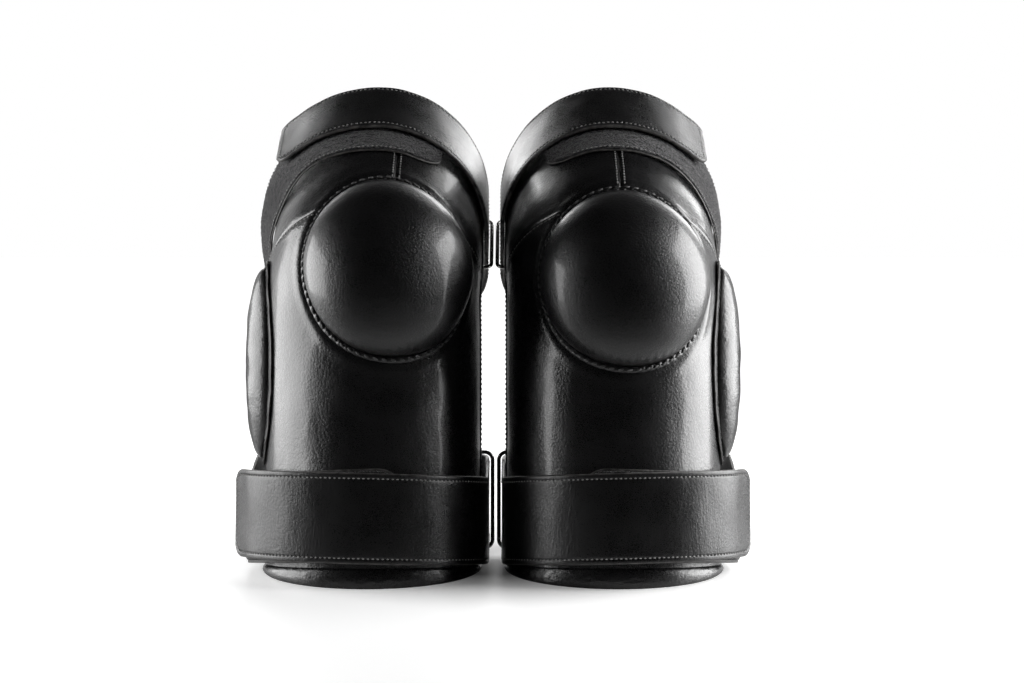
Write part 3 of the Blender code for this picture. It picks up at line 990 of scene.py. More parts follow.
class Bench:
    """Puts finished pieces of one guard in their place."""

    def __init__(self, form: ShellForm, fit: GuardFit, finishes: Finishes) -> None:
        """Keeps what every piece of the guard needs.

        Args:
            form: the surface that the pieces follow.
            fit: what is particular to this guard.
            finishes: the materials.
        """
        self.form = form
        self.fit = fit
        self.finishes = finishes

    def placed(self, point: Vector) -> Vector:
        """A point of the guard's own frame, in the pair."""
        side = self.fit.side.value
        return Vector((side * (self.form.spacing + point.x), point.y, point.z))

    def piece(self, name: str, work: bmesh.types.BMesh, material: bpy.types.Material,
              slot: str) -> bpy.types.Object:
        """Finishes a mesh as a piece of this guard.

        Args:
            name: what the piece is, without the guard's label.
            work: its mesh in the guard's frame, which is freed.
            material: its finish.
            slot: not used.

        Returns:
            The object, which rides on nothing yet.
        """
        for vert in work.verts:
            vert.co = self.placed(vert.co)
        if self.fit.side is Side.LEFT:
            bmesh.ops.reverse_faces(work, faces=work.faces)
        data = bpy.data.meshes.new(f"{self.fit.label}_{name}_piece")
        for face in work.faces:
            face.smooth = True
        work.to_mesh(data)
        work.free()
        data.materials.append(material)
        made = bpy.data.objects.new(data.name, data)
        bpy.context.scene.collection.objects.link(made)
        LOG.info("%s: %d faces", made.name, len(data.polygons))
        return made

    def node(self, name: str) -> str:
        """The full name of one of this guard's nodes or bodies."""
        return f"{self.fit.label}_{name}"

    def soft(self, name: str, work: bmesh.types.BMesh, material: bpy.types.Material, slot: str,
             wall: float, fill: float) -> None:
        """Finishes a padded piece, fixed to the shell in place of the node of its name.

        Args:
            name: as for piece().
            work: as for piece().
            material: as for piece().
            slot: as for piece().
            wall: its thickness, inwards.
            fill: not used.
        """
        made = self.piece(name, work, material, slot)
        thicken(made, wall)
        self.fixed(made, name)

    def fixed(self, made: bpy.types.Object, *nodes: str) -> bpy.types.Object:
        """Fixes a piece to the shell's body, in place of the named nodes.

        Args:
            made: the piece.
            nodes: names without the label.

        Returns:
            The piece.
        """
        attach(made, self.fit.body)
        if nodes:
            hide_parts(*(self.node(name) for name in nodes))
        return made


def thicken(made: bpy.types.Object, thickness: float, outwards: bool = False) -> None:
    """Gives an open surface its thickness.

    Args:
        made: the piece.
        thickness: of its wall.
        outwards: whether the wall grows outwards.
    """
    wall = made.modifiers.new("wall", "SOLIDIFY")
    wall.thickness = thickness
    wall.offset = 1 if outwards else -1


# ---- the shell ----


@dataclass
class Shell:
    """The leather panels, the foam, the lining, the rolled rim and the bound edge."""

    bench: Bench
    leather: float = 1.4 * MM
    columns: int = 168
    seam_dip: float = 0.9 * MM
    seam_width: float = 1.3 * MM
    seam_gap: float = 0.15 * MM
    stitch: tuple[float, float, float] = (3.8 * MM, 2.5 * MM, 0.6 * MM)
    bind_width: float = 9.0 * MM
    rim_low: float = 4.0 * MM
    rim_tall: float = 14.6 * MM
    rim_bulge: float = 2.1 * MM

    def __post_init__(self) -> None:
        """Keeps the form and the fit at hand."""
        self.form = self.bench.form
        self.fit = self.bench.fit
        self.seam_k = self.form.k_of(self.fit.seam_angle)

    def dome_distance(self, k: float, v: float) -> float:
        """How far (k, v) is outside the dome's edge, in metres.

        Args:
            k: station round the shell.
            v: length up the front.

        Returns:
            The distance, below 0 inside.
        """
        turn = math.radians(self.form.angle_of(k) - self.fit.dome_angle)
        a = turn * self.form.shin_section[0] / KneeDome.wide
        b = (v - self.fit.dome_height) / self.fit.dome_tall
        return (math.hypot(a, b) - 1) * KneeDome.wide

    def seam_distance(self, k: float, v: float) -> float:
        """How far (k, v) is from the seam above the dome, towards the outer side."""
        return math.radians(self.form.angle_of(k) - self.fit.seam_angle) * self.form.section(v)[0]

    def relief(self, k: float, v: float) -> float:
        """How far the leather's face is from the form: seams pulled in, and the hide's unevenness.

        Args:
            k: station round the shell.
            v: length up the front.

        Returns:
            The height over the form.
        """
        dip = hump(v - self.form.seam, self.seam_width)
        puff = hump(abs(v - self.form.seam) - 7 * MM, 5 * MM)
        if v > self.form.seam:
            across = abs(self.seam_distance(k, v))
            dip = max(dip, hump(across, self.seam_width))
            puff = max(puff, hump(across - 7 * MM, 5 * MM))
        edge = self.dome_distance(k, v)
        groove = hump(edge - 2.6 * MM, 2.4 * MM)
        lip = hump(edge - 8.5 * MM, 3.5 * MM)
        slow = noise.noise(Vector((5 * k, 22 * v, self.fit.side.value)))
        quick = noise.noise(Vector((16 * k, 60 * v, 5.0 + self.fit.side.value)))
        hide = 0.45 * slow + 0.14 * quick
        return (hide + 0.35 * puff + 0.7 * lip) * MM - self.seam_dip * dip - 1.7 * MM * groove

    def panel(self, name: str, ks: list[float], rows: list[float]) -> None:
        """One leather panel over a grid of stations.

        Args:
            name: the node that it stands for.
            ks: stations round the shell.
            rows: stations up the front.
        """

        def place(i: int, j: int) -> Spot:
            """A point of the panel.

            Args:
                i: column.
                j: row.

            Returns:
                The point and its wear.
            """
            k = ks[i]
            v = self.form.settled(k, 0.0, rows[j])
            wear_and_highlight = 0.25 * hump(v - self.form.seam, 0.8 * MM)
            if v > self.form.seam:
                wear_and_highlight = max(wear_and_highlight, 0.25 * hump(self.seam_distance(k, v), 0.8 * MM))
            return self.form.skin(k, v, self.relief(k, v)), wear_and_highlight

        work = bent_grid(len(ks) - 1, len(rows) - 1, place)
        made = self.bench.piece(name, work, self.bench.finishes.leather, "leather")
        thicken(made, self.leather)
        self.bench.fixed(made, name)

    def rows_to_seam(self) -> list[float]:
        """Stations up the shin, close together by the seam.

        Returns:
            The stations.
        """
        seam = self.form.seam
        low = spaced(self.form.wall_base, seam - 12 * MM, 84)
        return low + spaced(seam - 12 * MM, seam - self.seam_gap, 16)[1:]

    def rows_past_seam(self) -> list[float]:
        """Stations from the seam to the top.

        Returns:
            The stations.
        """
        seam = self.form.seam
        near = spaced(seam + self.seam_gap, seam + 12 * MM, 16)
        return near + spaced(seam + 12 * MM, self.form.top, 40)[1:]

    def panels(self) -> None:
        """The shin panel and the two thigh panels."""
        ks = spaced(-1, 1, self.columns)
        self.panel("shin_panel", ks, self.rows_to_seam())
        gap = self.form.k_of(math.degrees(self.seam_gap / self.form.thigh_section[0]))
        near = self.form.k_of(8)
        inner = spaced(-1, self.seam_k - near, 70) + spaced(self.seam_k - near, self.seam_k - gap, 16)[1:]
        outer = spaced(self.seam_k + gap, self.seam_k + near, 16) + spaced(self.seam_k + near, 1, 70)[1:]
        self.panel("thigh_panel_inner", inner, self.rows_past_seam())
        self.panel("thigh_panel_outer", outer, self.rows_past_seam())

    def layer(self, name: str, off: float, thickness: float, finish: bpy.types.Material, slot: str,
              channel: float, fill: float) -> None:
        """A foam or lining layer, with quilted channels on its inner face.

        Args:
            name: the node that it stands for.
            off: of its outer face.
            thickness: of the layer.
            finish: its material.
            slot: passed on to the piece.
            channel: depth of the channels.
            fill: how tight it is.
        """
        ks = spaced(-1, 1, 96)
        rows = spaced(self.form.wall_base, self.form.top, 72)

        def place(i: int, j: int) -> Spot:
            """A point of the layer.

            Args:
                i: column.
                j: row.

            Returns:
                The point and its wear.
            """
            k = ks[i]
            v = self.form.settled(k, off, rows[j])
            lines = max(hump(abs(self.form.angle_of(k)) - 42, 2.5), hump(v - 0.19, 3 * MM),
                        hump(v - 0.33, 3 * MM))
            return self.form.skin(k, v, off + channel * lines), 0.0

        work = bent_grid(len(ks) - 1, len(rows) - 1, place)
        self.bench.soft(name, work, finish, slot, thickness, fill)

    def rim_height(self, k: float) -> float:
        """The rolled rim's height: tall at the front, where the wall leans back, and low behind."""
        depth = self.form.across(k, 0.0, 0.0)[1]
        return max(self.rim_low, self.rim_tall - depth * math.sin(self.form.shin_lean))

    def rim(self) -> None:
        """The rolled leather rim that the guard stands on."""
        low, wall = self.rim_low, self.form.wall
        outline = [(-wall, 0.0, 0.4 * MM), (0.4 * MM - wall, 0.0, 0.0), (0.3 * MM, 0.0, 0.0)]
        for share in spaced(0.02, 0.98, 14):
            outline.append((self.rim_bulge * math.sin(math.pi * share**0.8) ** 0.6, share, 0.0))
        outline += [(-0.8 * MM, 1.0, -0.2 * MM), (-0.9 * MM, 0.0, low - 0.1 * MM), (-wall, 0.0, low)]
        outline.append(outline[0])
        ks = spaced(-1, 1, 144)

        def place(i: int, j: int) -> Spot:
            """A point of the rim.

            Args:
                i: column.
                j: row.

            Returns:
                The point and its wear.
            """
            off, share, base = outline[j]
            z = share * self.rim_height(ks[i]) + base
            off += 0.2 * MM * noise.noise(Vector((30 * ks[i], 400 * z, self.fit.side.value)))
            return self.form.skin(ks[i], self.form.floor_row(ks[i], off, z), off), 0.3 * hump(share, 0.2)

        work = bent_grid(len(ks) - 1, len(outline) - 1, place)
        close_tube(work, capped=True)
        bmesh.ops.recalc_face_normals(work, faces=work.faces)
        made = self.bench.piece("bottom_rim", work, self.bench.finishes.leather, "leather")
        self.bench.fixed(made, "bottom_rim")

    def edge_stations(self) -> list[tuple[float, float, float, float]]:
        """The open edge, foot to foot, as (side, distance behind the front or angle, v, turn).

        A station on a side has its sign and its distance; one on the top has side 0 and its angle.

        Returns:
            The stations in order.
        """
        form, corner = self.form, 5 * MM
        top = form.top
        foot = form.floor_row(1.0, -form.wall / 2, form.wall_base + 1 * MM)
        side = [(1.0, form.reach(v), v, 0.0) for v in spaced(foot, top - corner, 110)]
        for turn in (22.5, 45, 67.5):
            angle = math.radians(turn)
            reach = form.reach(top) - corner + corner * math.cos(angle)
            side.append((1.0, reach, top - corner + corner * math.sin(angle), angle))
        over = [(0.0, angle, top, math.radians(90)) for angle in spaced(95, -95, 110)]
        other = [(-1.0, reach, v, angle) for _, reach, v, angle in reversed(side)]
        return side + over + other

    def edge_point(self, station: tuple[float, float, float, float], out: float, off: float) -> Vector:
        """A point at out past the edge and off the leather's face.

        Args:
            station: one of edge_stations().
            out: past the edge.
            off: distance outside the leather's face.

        Returns:
            The point.
        """
        side, reach, v, turn = station
        form = self.form
        if side == 0:
            past = max(0.0, abs(reach) - 90)
            k = math.copysign(form.front_share + past / 5 * 9 * MM / form.thigh_reach
                              * (1 - form.front_share), reach) if past else form.k_of(reach)
            return form.skin(k, v + out, off)
        reach += out * math.cos(turn)
        v += out * math.sin(turn)
        k = side * (form.front_share + (1 - form.front_share) * reach / form.reach(v))
        return form.skin(k, v, off)

    def binding(self) -> None:
        """The leather tape folded over the open edge, and its stitches."""
        stations = self.edge_stations()
        outside, inside, nose = 1.1 * MM, -self.form.wall - 1.1 * MM, 3.0 * MM
        middle = (outside + inside) / 2
        half = (outside - inside) / 2
        section = [(-self.bind_width, outside - 0.9 * MM), (-self.bind_width + 0.6 * MM, outside)]
        section += [(out, outside) for out in spaced(-self.bind_width + 2 * MM, -1 * MM, 4)]
        for turn in spaced(80, -80, 10):
            angle = math.radians(turn)
            section.append((nose * math.cos(angle) ** 0.8, middle + half * math.sin(angle)))
        section += [(out, inside) for out in spaced(-1 * MM, -self.bind_width, 5)]

        def place(i: int, j: int) -> Spot:
            """A point of the tape.

            Args:
                i: column.
                j: row.

            Returns:
                The point and its wear.
            """
            out, off = section[j]
            pull = 0.12 * MM * noise.noise(Vector((0.35 * i, 0.5 * j, 3.0)))
            wear_and_highlight = 0.5 * hump(out - nose, 2 * MM) + 0.3 * hump(out + self.bind_width, 1 * MM)
            return self.edge_point(stations[i], out, off + pull), wear_and_highlight

        work = bent_grid(len(stations) - 1, len(section) - 1, place)
        bmesh.ops.recalc_face_normals(work, faces=work.faces)
        self.face_out(work)
        made = self.bench.piece("edge_binding", work, self.bench.finishes.binding, "leather")
        thicken(made, 0.9 * MM)
        self.bench.fixed(made, "edge_piping")
        line = [(self.edge_point(s, 2.2 * MM - self.bind_width, outside),
                 (self.edge_point(s, 2.2 * MM - self.bind_width, outside)
                  - self.edge_point(s, 2.2 * MM - self.bind_width, 0.0)).normalized()) for s in stations]
        self.stitches("binding_stitches", [line])

    def face_out(self, work: bmesh.types.BMesh) -> None:
        """Turns the binding's faces so that the tape's outer layer faces away from the leg.

        Args:
            work: the tape's mesh.
        """
        front = max(work.faces, key=lambda face: face.calc_center_median().x)
        if front.normal.x < 0:
            bmesh.ops.reverse_faces(work, faces=work.faces)

    def stitches(self, name: str, tracks: list[Track]) -> None:
        """A set of thread stitches on the shell.

        Args:
            name: of the piece.
            tracks: the lines.
        """
        pitch, length, radius = self.stitch
        work = sewn(tracks, pitch, length, radius, lift=0.12 * MM)
        made = self.bench.piece(name, work, self.bench.finishes.thread, "leather")
        self.bench.fixed(made)

    def surface_track(self, places: Iterable[tuple[float, float]]) -> Track:
        """A line on the leather's face through (k, v) places."""
        return [(self.form.skin(k, v, self.relief(k, v)), self.form.normal(k, v)) for k, v in places]

    def seam_stitches(self) -> None:
        """Two rows along the seam above the dome, and one under the cross seam on each side."""
        seam, form = self.form.seam, self.form
        gap = form.k_of(math.degrees(2.6 * MM / form.thigh_section[0]))
        rows = [self.surface_track((self.seam_k + side * gap, v)
                                   for v in spaced(seam + 3 * MM, form.top - 12 * MM, 60))
                for side in (-1, 1)]
        below = seam - 2.8 * MM
        for start, end in ((-0.97, -0.05), (0.05, 0.97)):
            places = [(k, below) for k in spaced(start, end, 90) if self.dome_distance(k, below) > 2 * MM]
            if len(places) > 2:
                rows.append(self.surface_track(places))
        self.stitches("panel_stitches", rows)

    def quilt_stitches(self) -> None:
        """The lining's channels, sewn through to the foam."""
        form, inside = self.form, -self.form.wall + 0.35 * MM
        lines = [[(form.k_of(side * 42), v) for v in spaced(0.03, form.top - 12 * MM, 90)]
                 for side in (-1, 1)]
        lines += [[(k, v) for k in spaced(-0.93, 0.93, 90)] for v in (0.19, 0.33)]
        rows = [[(form.skin(k, v, inside), -form.normal(k, v)) for k, v in line] for line in lines]
        self.stitches("quilt_stitches", rows)

    def build(self) -> None:
        """Makes every piece of the shell."""
        finishes = self.bench.finishes
        self.quilt_stitches()
        self.panels()
        self.layer("padding", -3.2 * MM, 5.4 * MM, finishes.foam, "padding_foam", 0.0, 0.9)
        self.layer("lining", -9.2 * MM, 1.1 * MM, finishes.lining, "lining_suede", 0.45 * MM, 0.5)
        self.rim()
        self.binding()
        self.seam_stitches()


# ---- the dome and the roll ----


@dataclass
class KneeDome:
    """The stuffed dome over the knee, and the thick stitches in the groove round it."""

    bench: Bench
    wide: float = 67.5 * MM
    rise: float = 24 * MM
    cover: float = 1.5 * MM
    stitches: int = 68
    stitch: tuple[float, float, float] = (2.5 * MM, 4.5 * MM, 1.0 * MM)  # out, length and radius
    margin: tuple[float, float] = (-0.5 * MM, 4.9 * MM)
    # inset, base, rise and wall
    cup: tuple[float, float, float, float] = (8.5 * MM, 1.6 * MM, 17.6 * MM, 2.2 * MM)
    foam: tuple[float, float, float, float] = (11.5 * MM, 2.3 * MM, 15 * MM, 3 * MM)

    def point(self, share: float, turn: float, inset: float, base: float, rise: float) -> Vector:
        """A point of a dome-shaped layer: share of the radius, turn, and its size and height.

        Args:
            share: share of the radius.
            turn: angle round the middle.
            inset: how much smaller the layer is.
            base: height of its edge.
            rise: height of its middle over that.

        Returns:
            The point.
        """
        fit, form = self.bench.fit, self.bench.form
        side = (self.wide - inset) * share * math.cos(turn) / form.shin_section[0]
        k = form.k_of(fit.dome_angle + math.degrees(side))
        v = fit.dome_height + (fit.dome_tall - inset) * share * math.sin(turn)
        high = (0.5 + 0.5 * math.sin(turn)) ** 3  # flatter towards its upper edge
        swell = max(0.0, 1 - share ** (2.6 - 0.5 * high)) ** (0.55 + 0.3 * high)
        return form.skin(k, v, base + rise * swell)

    def build(self) -> None:
        """Makes the cover, the cup, the filling and the stitches."""
        bench = self.bench
        seed = 11.0 + bench.fit.side.value

        def face(share: float, turn: float) -> Spot:
            """A point of the cover.

            Args:
                share: share of the radius.
                turn: angle round the middle.

            Returns:
                The point and its wear.
            """
            point = self.point(share, turn, 0.0, -0.4 * MM, self.rise)
            pull = 0.5 * MM * hump(share - 0.955, 0.035) * math.cos(turn * self.stitches)
            uneven = 0.5 * MM * noise.noise(22 * point + Vector((seed, 0, 0)))
            normal = bench.form.normal(bench.form.k_of(bench.fit.dome_angle), bench.fit.dome_height)
            return point + (pull + uneven * (1 - share**4)) * normal, 0.25 * hump(share - 0.985, 0.02)

        bench.soft("dome_cover", disc_patch(120, face), bench.finishes.dome, "leather", self.cover, 0.95)

        def cup(share: float, turn: float) -> Spot:
            """A point of the cup."""
            return self.point(share, turn, *self.cup[:3]), 0.0

        made = bench.piece("dome_cup", disc_patch(56, cup), bench.finishes.plastic, "cup_plastic")
        thicken(made, self.cup[3], outwards=True)
        bench.fixed(made, "dome_cup")

        def foam(share: float, turn: float) -> Spot:
            """A point of the filling."""
            return self.point(share, turn, *self.foam[:3]), 0.0

        bench.soft("dome_padding", disc_patch(40, foam), bench.finishes.foam, "padding_foam",
                   self.foam[3], 0.8)
        self.sewn_margin()

    def sewn_margin(self) -> None:
        """The cover's margin, turned out flat on the shell, and the thick stitches that press it down."""
        bench = self.bench
        columns, rows = self.stitches * 8, 8
        near, far = self.margin

        def place(i: int, j: int) -> Spot:
            """A point of the margin.

            Args:
                i: column.
                j: row.

            Returns:
                The point and how pale it is: wear, and a painted glint on the puffs.
            """
            turn = 2 * math.pi * (i % columns) / columns
            share = j / rows
            out = near + (far - near) * share
            pressed = 0.5 + 0.5 * math.cos(turn * self.stitches + 1.2 * share)
            swell = math.sqrt(max(0.0, 1 - (2 * share - 1) ** 2))
            base = -1.2 * MM + 1.3 * MM * swell + 0.75 * MM * swell * (1 - pressed)
            # The puffs between the stitches come out paler: partly wear, partly a painted glint.
            return self.point(1.0, turn, -out, base, 0.0), 0.12 * (1 - pressed) * swell

        work = bent_grid(columns, rows, place)
        bmesh.ops.remove_doubles(work, verts=work.verts, dist=0.01 * MM)
        bmesh.ops.recalc_face_normals(work, faces=work.faces)
        made = bench.piece("dome_margin", work, bench.finishes.dome, "leather")
        thicken(made, 1.0 * MM)
        bench.fixed(made)
        ring = []
        out, length, radius = self.stitch
        steps = self.stitches * 6
        for n in range(steps + 1):
            turn = 2 * math.pi * (n / steps - 0.5 / self.stitches)
            low = self.point(1.0, turn, -out, 0.75 * MM, 0.0)
            high = self.point(1.0, turn, -out, 5.75 * MM, 0.0)
            ring.append((low, (high - low).normalized()))
        tracks = [ring[6 * n:6 * n + 7] for n in range(self.stitches)]
        work = sewn(tracks, 100 * MM, length, radius, twist=0.25)
        made = bench.piece("dome_stitches", work, bench.finishes.cord, "leather")
        bench.fixed(made)


@dataclass
class SideRoll:
    """The long stuffed roll on the outer side, its welt and its stitches."""

    bench: Bench
    middle: tuple[float, float] = (-0.041, 0.152)
    size: tuple[float, float] = (27 * MM, 71 * MM)
    welt: float = 4.5 * MM
    rise: float = 16 * MM
    cover: float = 1.4 * MM

    def point(self, share: float, turn: float, grow: float, off: float) -> Vector:
        """A point of the roll's outline, grown or shrunk, at off from the shell's side.

        Args:
            share: share of the radius.
            turn: angle round the middle.
            grow: added to the size.
            off: distance from the shell's side.

        Returns:
            The point.
        """
        up = (self.size[1] + grow) * share * math.sin(turn)
        back = (self.size[0] + grow) * share * math.cos(turn) + up * math.tan(self.bench.form.shin_lean)
        return self.bench.form.outer_side(self.middle[0] + back, self.middle[1] + up, off)

    def build(self) -> None:
        """Makes the welt, the cover, the core and the stitches."""
        bench = self.bench
        seed = 31.0 + bench.fit.side.value

        def flat(share: float, turn: float) -> Spot:
            """A point of the welt."""
            wave = 0.5 * MM * share * noise.noise(Vector((5 * turn, seed, 0)))
            return self.point(share, turn, self.welt, 0.9 * MM + wave), 0.9 * hump(share - 1, 0.012)

        made = bench.piece("roll_welt", disc_patch(64, flat), bench.finishes.binding, "leather")
        thicken(made, 1.2 * MM, outwards=True)
        bench.fixed(made, "roll_welt")

        def face(share: float, turn: float) -> Spot:
            """A point of the cover.

            Args:
                share: share of the radius.
                turn: angle round the middle.

            Returns:
                The point and its wear.
            """
            swell = max(0.0, 1 - share**2.4) ** 0.5
            pucker = 0.45 * MM * hump(share - 0.93, 0.05) * math.sin(46 * turn + 3 * math.sin(5 * turn))
            spot = Vector((3.2 * share * math.cos(turn), 5 * share * math.sin(turn), seed))
            uneven = 0.7 * MM * noise.noise(spot)
            off = 2.2 * MM + (self.rise - 2.2 * MM) * swell + (pucker + uneven) * (1 - share**4)
            return self.point(share, turn, 0.0, off), 0.3 * hump(share - 1, 0.03)

        bench.soft("roll_cover", disc_patch(96, face), bench.finishes.roll, "leather", self.cover, 0.85)

        def core(share: float, turn: float) -> Spot:
            """A point of the core."""
            swell = max(0.0, 1 - share**2.4) ** 0.5
            return self.point(share, turn, -6 * MM, 3.4 * MM + (self.rise - 7.5 * MM) * swell), 0.0

        bench.soft("roll_core", disc_patch(36, core), bench.finishes.foam, "padding_foam", 2.5 * MM, 0.8)
        ring = []
        for turn in spaced(0, 2 * math.pi, 220):
            low = self.point(1.0, turn, 1.2 * MM, 2.2 * MM)
            ring.append((low, (self.point(1.0, turn, 1.2 * MM, 7.2 * MM) - low).normalized()))
        work = sewn([ring], 4.4 * MM, 3.4 * MM, 0.6 * MM)
        made = bench.piece("roll_stitches", work, bench.finishes.cord, "leather")
        bench.fixed(made)


# ---- the belts ----


@dataclass(frozen=True)
class BeltLoop:
    """One belt's loop. Station u is 0 at the front, 1 and 2 on the outer side, 3 behind, -1 and -2 inside."""

    name: str
    centre: float
    outer_half: float
    inner_half: float
    band_inner_half: float
    side_length: float
    rear_depth: float
    band_start: float
    band_end: float
    strap_start: float
    peel: float
    tip_peel: float
    strap_end: float
    ring_depth: float
    tab_length: float
    band_drop: float
    band_slope: float
    band_dip: float
    strap_slope: float
    rear_rise: float
    hug: float  # how closely the band's lower edge follows the shell
    flare: float  # the station past which the strap's free end is straight
    section: tuple[float, float]

    def loop(self, u: float, off: float, start_half: float | None = None) -> tuple[float, float]:
        """(x, depth) at station u and at off outside the loop.

        Args:
            u: station.
            off: distance outside the loop.
            start_half: the band's own half width on the inner side.

        Returns:
            x and the depth.
        """
        turn = (u + 3) % 6 - 3
        inner = start_half if start_half and turn > -1 else self.inner_half
        half = (self.outer_half if turn > 0 else inner) + off
        side = math.copysign(1.0, turn)
        station = abs(turn)
        deep = self.section[1]
        if station <= 1:
            angle = math.radians(90) * station
            return side * half * math.sin(angle), deep - (deep + off) * math.cos(angle)
        if station <= 2:
            return side * half, deep + (station - 1) * self.side_length
        angle = math.radians(90) * (station - 2)
        behind = deep + self.side_length + (self.rear_depth + off) * math.sin(angle)
        return side * half * math.cos(angle), behind

    def strap_shift(self, u: float) -> float:
        """How far along the leg the strap's middle line is from the belt's plane."""
        climb = self.rear_rise * ease(abs(u), 0.9, 2.3)
        return self.strap_slope * max(-1.0, min(1.0, u)) + climb

    def band_shift(self, u: float) -> float:
        """The same for the band, which joins the strap behind the leg.

        Args:
            u: station.

        Returns:
            The distance along the leg.
        """
        apart = self.band_drop - self.band_slope * max(-1.0, min(1.0, u))
        apart += self.band_dip * ease(u, 0.2, 0.9)
        return self.rear_rise * ease(u, 0.9, 2.3) - apart * (1 - ease(u, 1.2, 3.6))

    def ring_station(self) -> float:
        """The station where the strap runs through the ring."""
        return -1 - (self.ring_depth - self.section[1]) / self.side_length


LOWER = BeltLoop(
    name="lower", centre=0.0497, outer_half=0.0899, inner_half=0.0761, band_inner_half=0.0795,
    side_length=0.052, rear_depth=0.045, band_start=-0.22, band_end=3.85, strap_start=-2.4, peel=-0.25,
    tip_peel=0.375, strap_end=0.93, ring_depth=0.124, tab_length=0.040, band_drop=-0.0025,
    band_slope=-0.0045, band_dip=0.0, strap_slope=0.0035, rear_rise=0.018, hug=0.0, flare=0.74,
    section=(0.079, 0.076))
UPPER = BeltLoop(
    name="upper", centre=0.4075, outer_half=0.0858, inner_half=0.0766, band_inner_half=0.0795,
    side_length=0.036, rear_depth=0.050, band_start=-0.42, band_end=3.85, strap_start=-2.4, peel=-0.25,
    tip_peel=0.1875, strap_end=0.61, ring_depth=0.116, tab_length=0.027, band_drop=0.028,
    band_slope=0.0, band_dip=0.008, strap_slope=0.0, rear_rise=0.0, hug=1.0, flare=0.42,
    section=(0.080, 0.088))


@dataclass
class Belt:
    """A belt's band, strap, hook tape, guide ring and tab, with their stitches."""

    bench: Bench
    loop: BeltLoop
    width: float = 64 * MM
    strap_base: float = 5.1 * MM
    strap_thick: float = 3.0 * MM
    strap_corner: float = 12 * MM
    stitch_inset: float = 3.9 * MM
    station: float = 0.125  # about how much of the belt one station is
    wire: float = 1.5 * MM
    eye: float = 9.3 * MM  # from the shell's face in to the ring's inner bar
    nap_inset: float = 1.5 * MM  # of the loop fabric on its backing
    nap_rows: int = 64

    def __post_init__(self) -> None:
        """Works out the belt's plane and where the strap's two pieces meet."""
        form, loop = self.bench.form, self.loop
        lean = form.lean(loop.centre)
        y, z = form.front(loop.centre)
        back = Vector((0, math.cos(lean), -math.sin(lean)))
        along = Vector((0, math.sin(lean), math.cos(lean)))
        turned = Matrix((Vector((1, 0, 0)), back, along)).transposed()
        self.plane = Matrix.Translation((0, y, z)) @ turned.to_4x4()
        self.middle = (loop.peel + loop.tip_peel) / 2

    def at(self, u: float, off: float, along: float, start_half: float | None = None) -> Vector:
        """A point at station u, at off outside the loop and along the leg."""
        x, depth = self.loop.loop(u, off, start_half)
        return self.plane @ Vector((x, depth, along))

    def body(self, name: str) -> str:
        """One of this belt's bodies."""
        return self.bench.node(f"{self.loop.name}_{name}")

    def outline(self, width: float, base: float, thick: float, groove: float) -> list[tuple[float, float]]:
        """A strap's cross section, as (along the leg, off), with round corners and a stitched line.

        Args:
            width: across the strap.
            base: off of its inner face.
            thick: its thickness.
            groove: depth of the stitched line.

        Returns:
            The points, with the first one again at the end.
        """
        corner = min(1.2 * MM, thick / 2.2)
        half = width / 2
        inset = half - self.stitch_inset
        faces = sorted({round(half * n / 12, 6) for n in range(-11, 12)}
                       | {side * inset + n * 0.5 * MM for side in (-1, 1) for n in (-2, -1, 0, 1, 2)})
        points = [(t, base + thick - groove * hump(abs(t) - inset, 0.7 * MM)) for t in faces
                  if abs(t) < half - corner]
        low, high, side = base + corner, base + thick - corner, half - corner
        for t, off, start in ((side, high, 90), (side, low, 0), (-side, low, -90), (-side, high, -180)):
            if start == -90:
                points += [(side_t, base) for side_t in spaced(half - 2 * corner, 2 * corner - half, 8)]
            for turn in (0, 30, 60, 90):
                angle = math.radians(start - turn)
                points.append((t + corner * math.cos(angle), off + corner * math.sin(angle)))
        return points + [points[0]]

    def stations(self, start: float, end: float, end_radius: float = 0.0,
                 start_radius: float = 0.0) -> list[tuple[float, float]]:
        """(station, how far the edges draw in) along a strip, finely, with round corners.

        Args:
            start: first station.
            end: last station.
            end_radius: of the corners at the end.
            start_radius: of the corners at the start.

        Returns:
            The stations in order.
        """
        first = start + start_radius / self.station
        last = end - end_radius / self.station
        made = [(u, 0.0) for u in spaced(first, last, max(4, round((last - first) * 50)))]
        for turn in spaced(7.5, 90, 11):
            angle = math.radians(turn)
            along = math.sin(angle) / self.station
            if start_radius:
                made.insert(0, (first - start_radius * along, start_radius * (1 - math.cos(angle))))
            if end_radius:
                made.append((last + end_radius * along, end_radius * (1 - math.cos(angle))))
        return made

    def swept(self, stations: list[tuple[float, float]], outline: list[tuple[float, float]],
              point_at: Callable[[float, float, float], Vector], edge_width: float) -> bmesh.types.BMesh:
        """A strap or band: its cross section carried along the loop, with its ends closed.

        Args:
            stations: from stations().
            outline: from outline().
            point_at: takes station, off and distance from the middle line.
            edge_width: how far the wear reaches from the edges.

        Returns:
            The closed mesh.
        """
        half = max(t for t, _ in outline)
        thick = max(off for _, off in outline)
        mid = (thick + min(off for _, off in outline)) / 2
        tip = stations[-1][0] if stations[-1][1] else math.inf
        nose = 1.2 * MM

        def place(i: int, j: int) -> Spot:
            """A point of the strip.

            Args:
                i: column.
                j: row.

            Returns:
                The point and how pale it is: wear, and on the strap a painted highlight.
            """
            u, cut = stations[i]
            t, off = outline[j]
            to_end = (tip - u) * self.station
            # Paler near the edges and the end: wear, and on the strap a painted highlight along its edges.
            edge = max(hump(abs(t) - half, edge_width), hump(min(to_end, 1.0), edge_width))
            thin = 1 - math.sqrt(1 - (1 - min(1.0, to_end / nose)) ** 2)
            off = mid + (off - mid) * (1 - thin * nose / (thick - mid))
            wave = 0.3 * MM * noise.noise(Vector((9 * u, 40 * t, self.loop.centre)))
            return point_at(u, off + wave, t * (half - cut) / half), edge

        work = bent_grid(len(stations) - 1, len(outline) - 1, place)
        close_tube(work, capped=True)
        return work

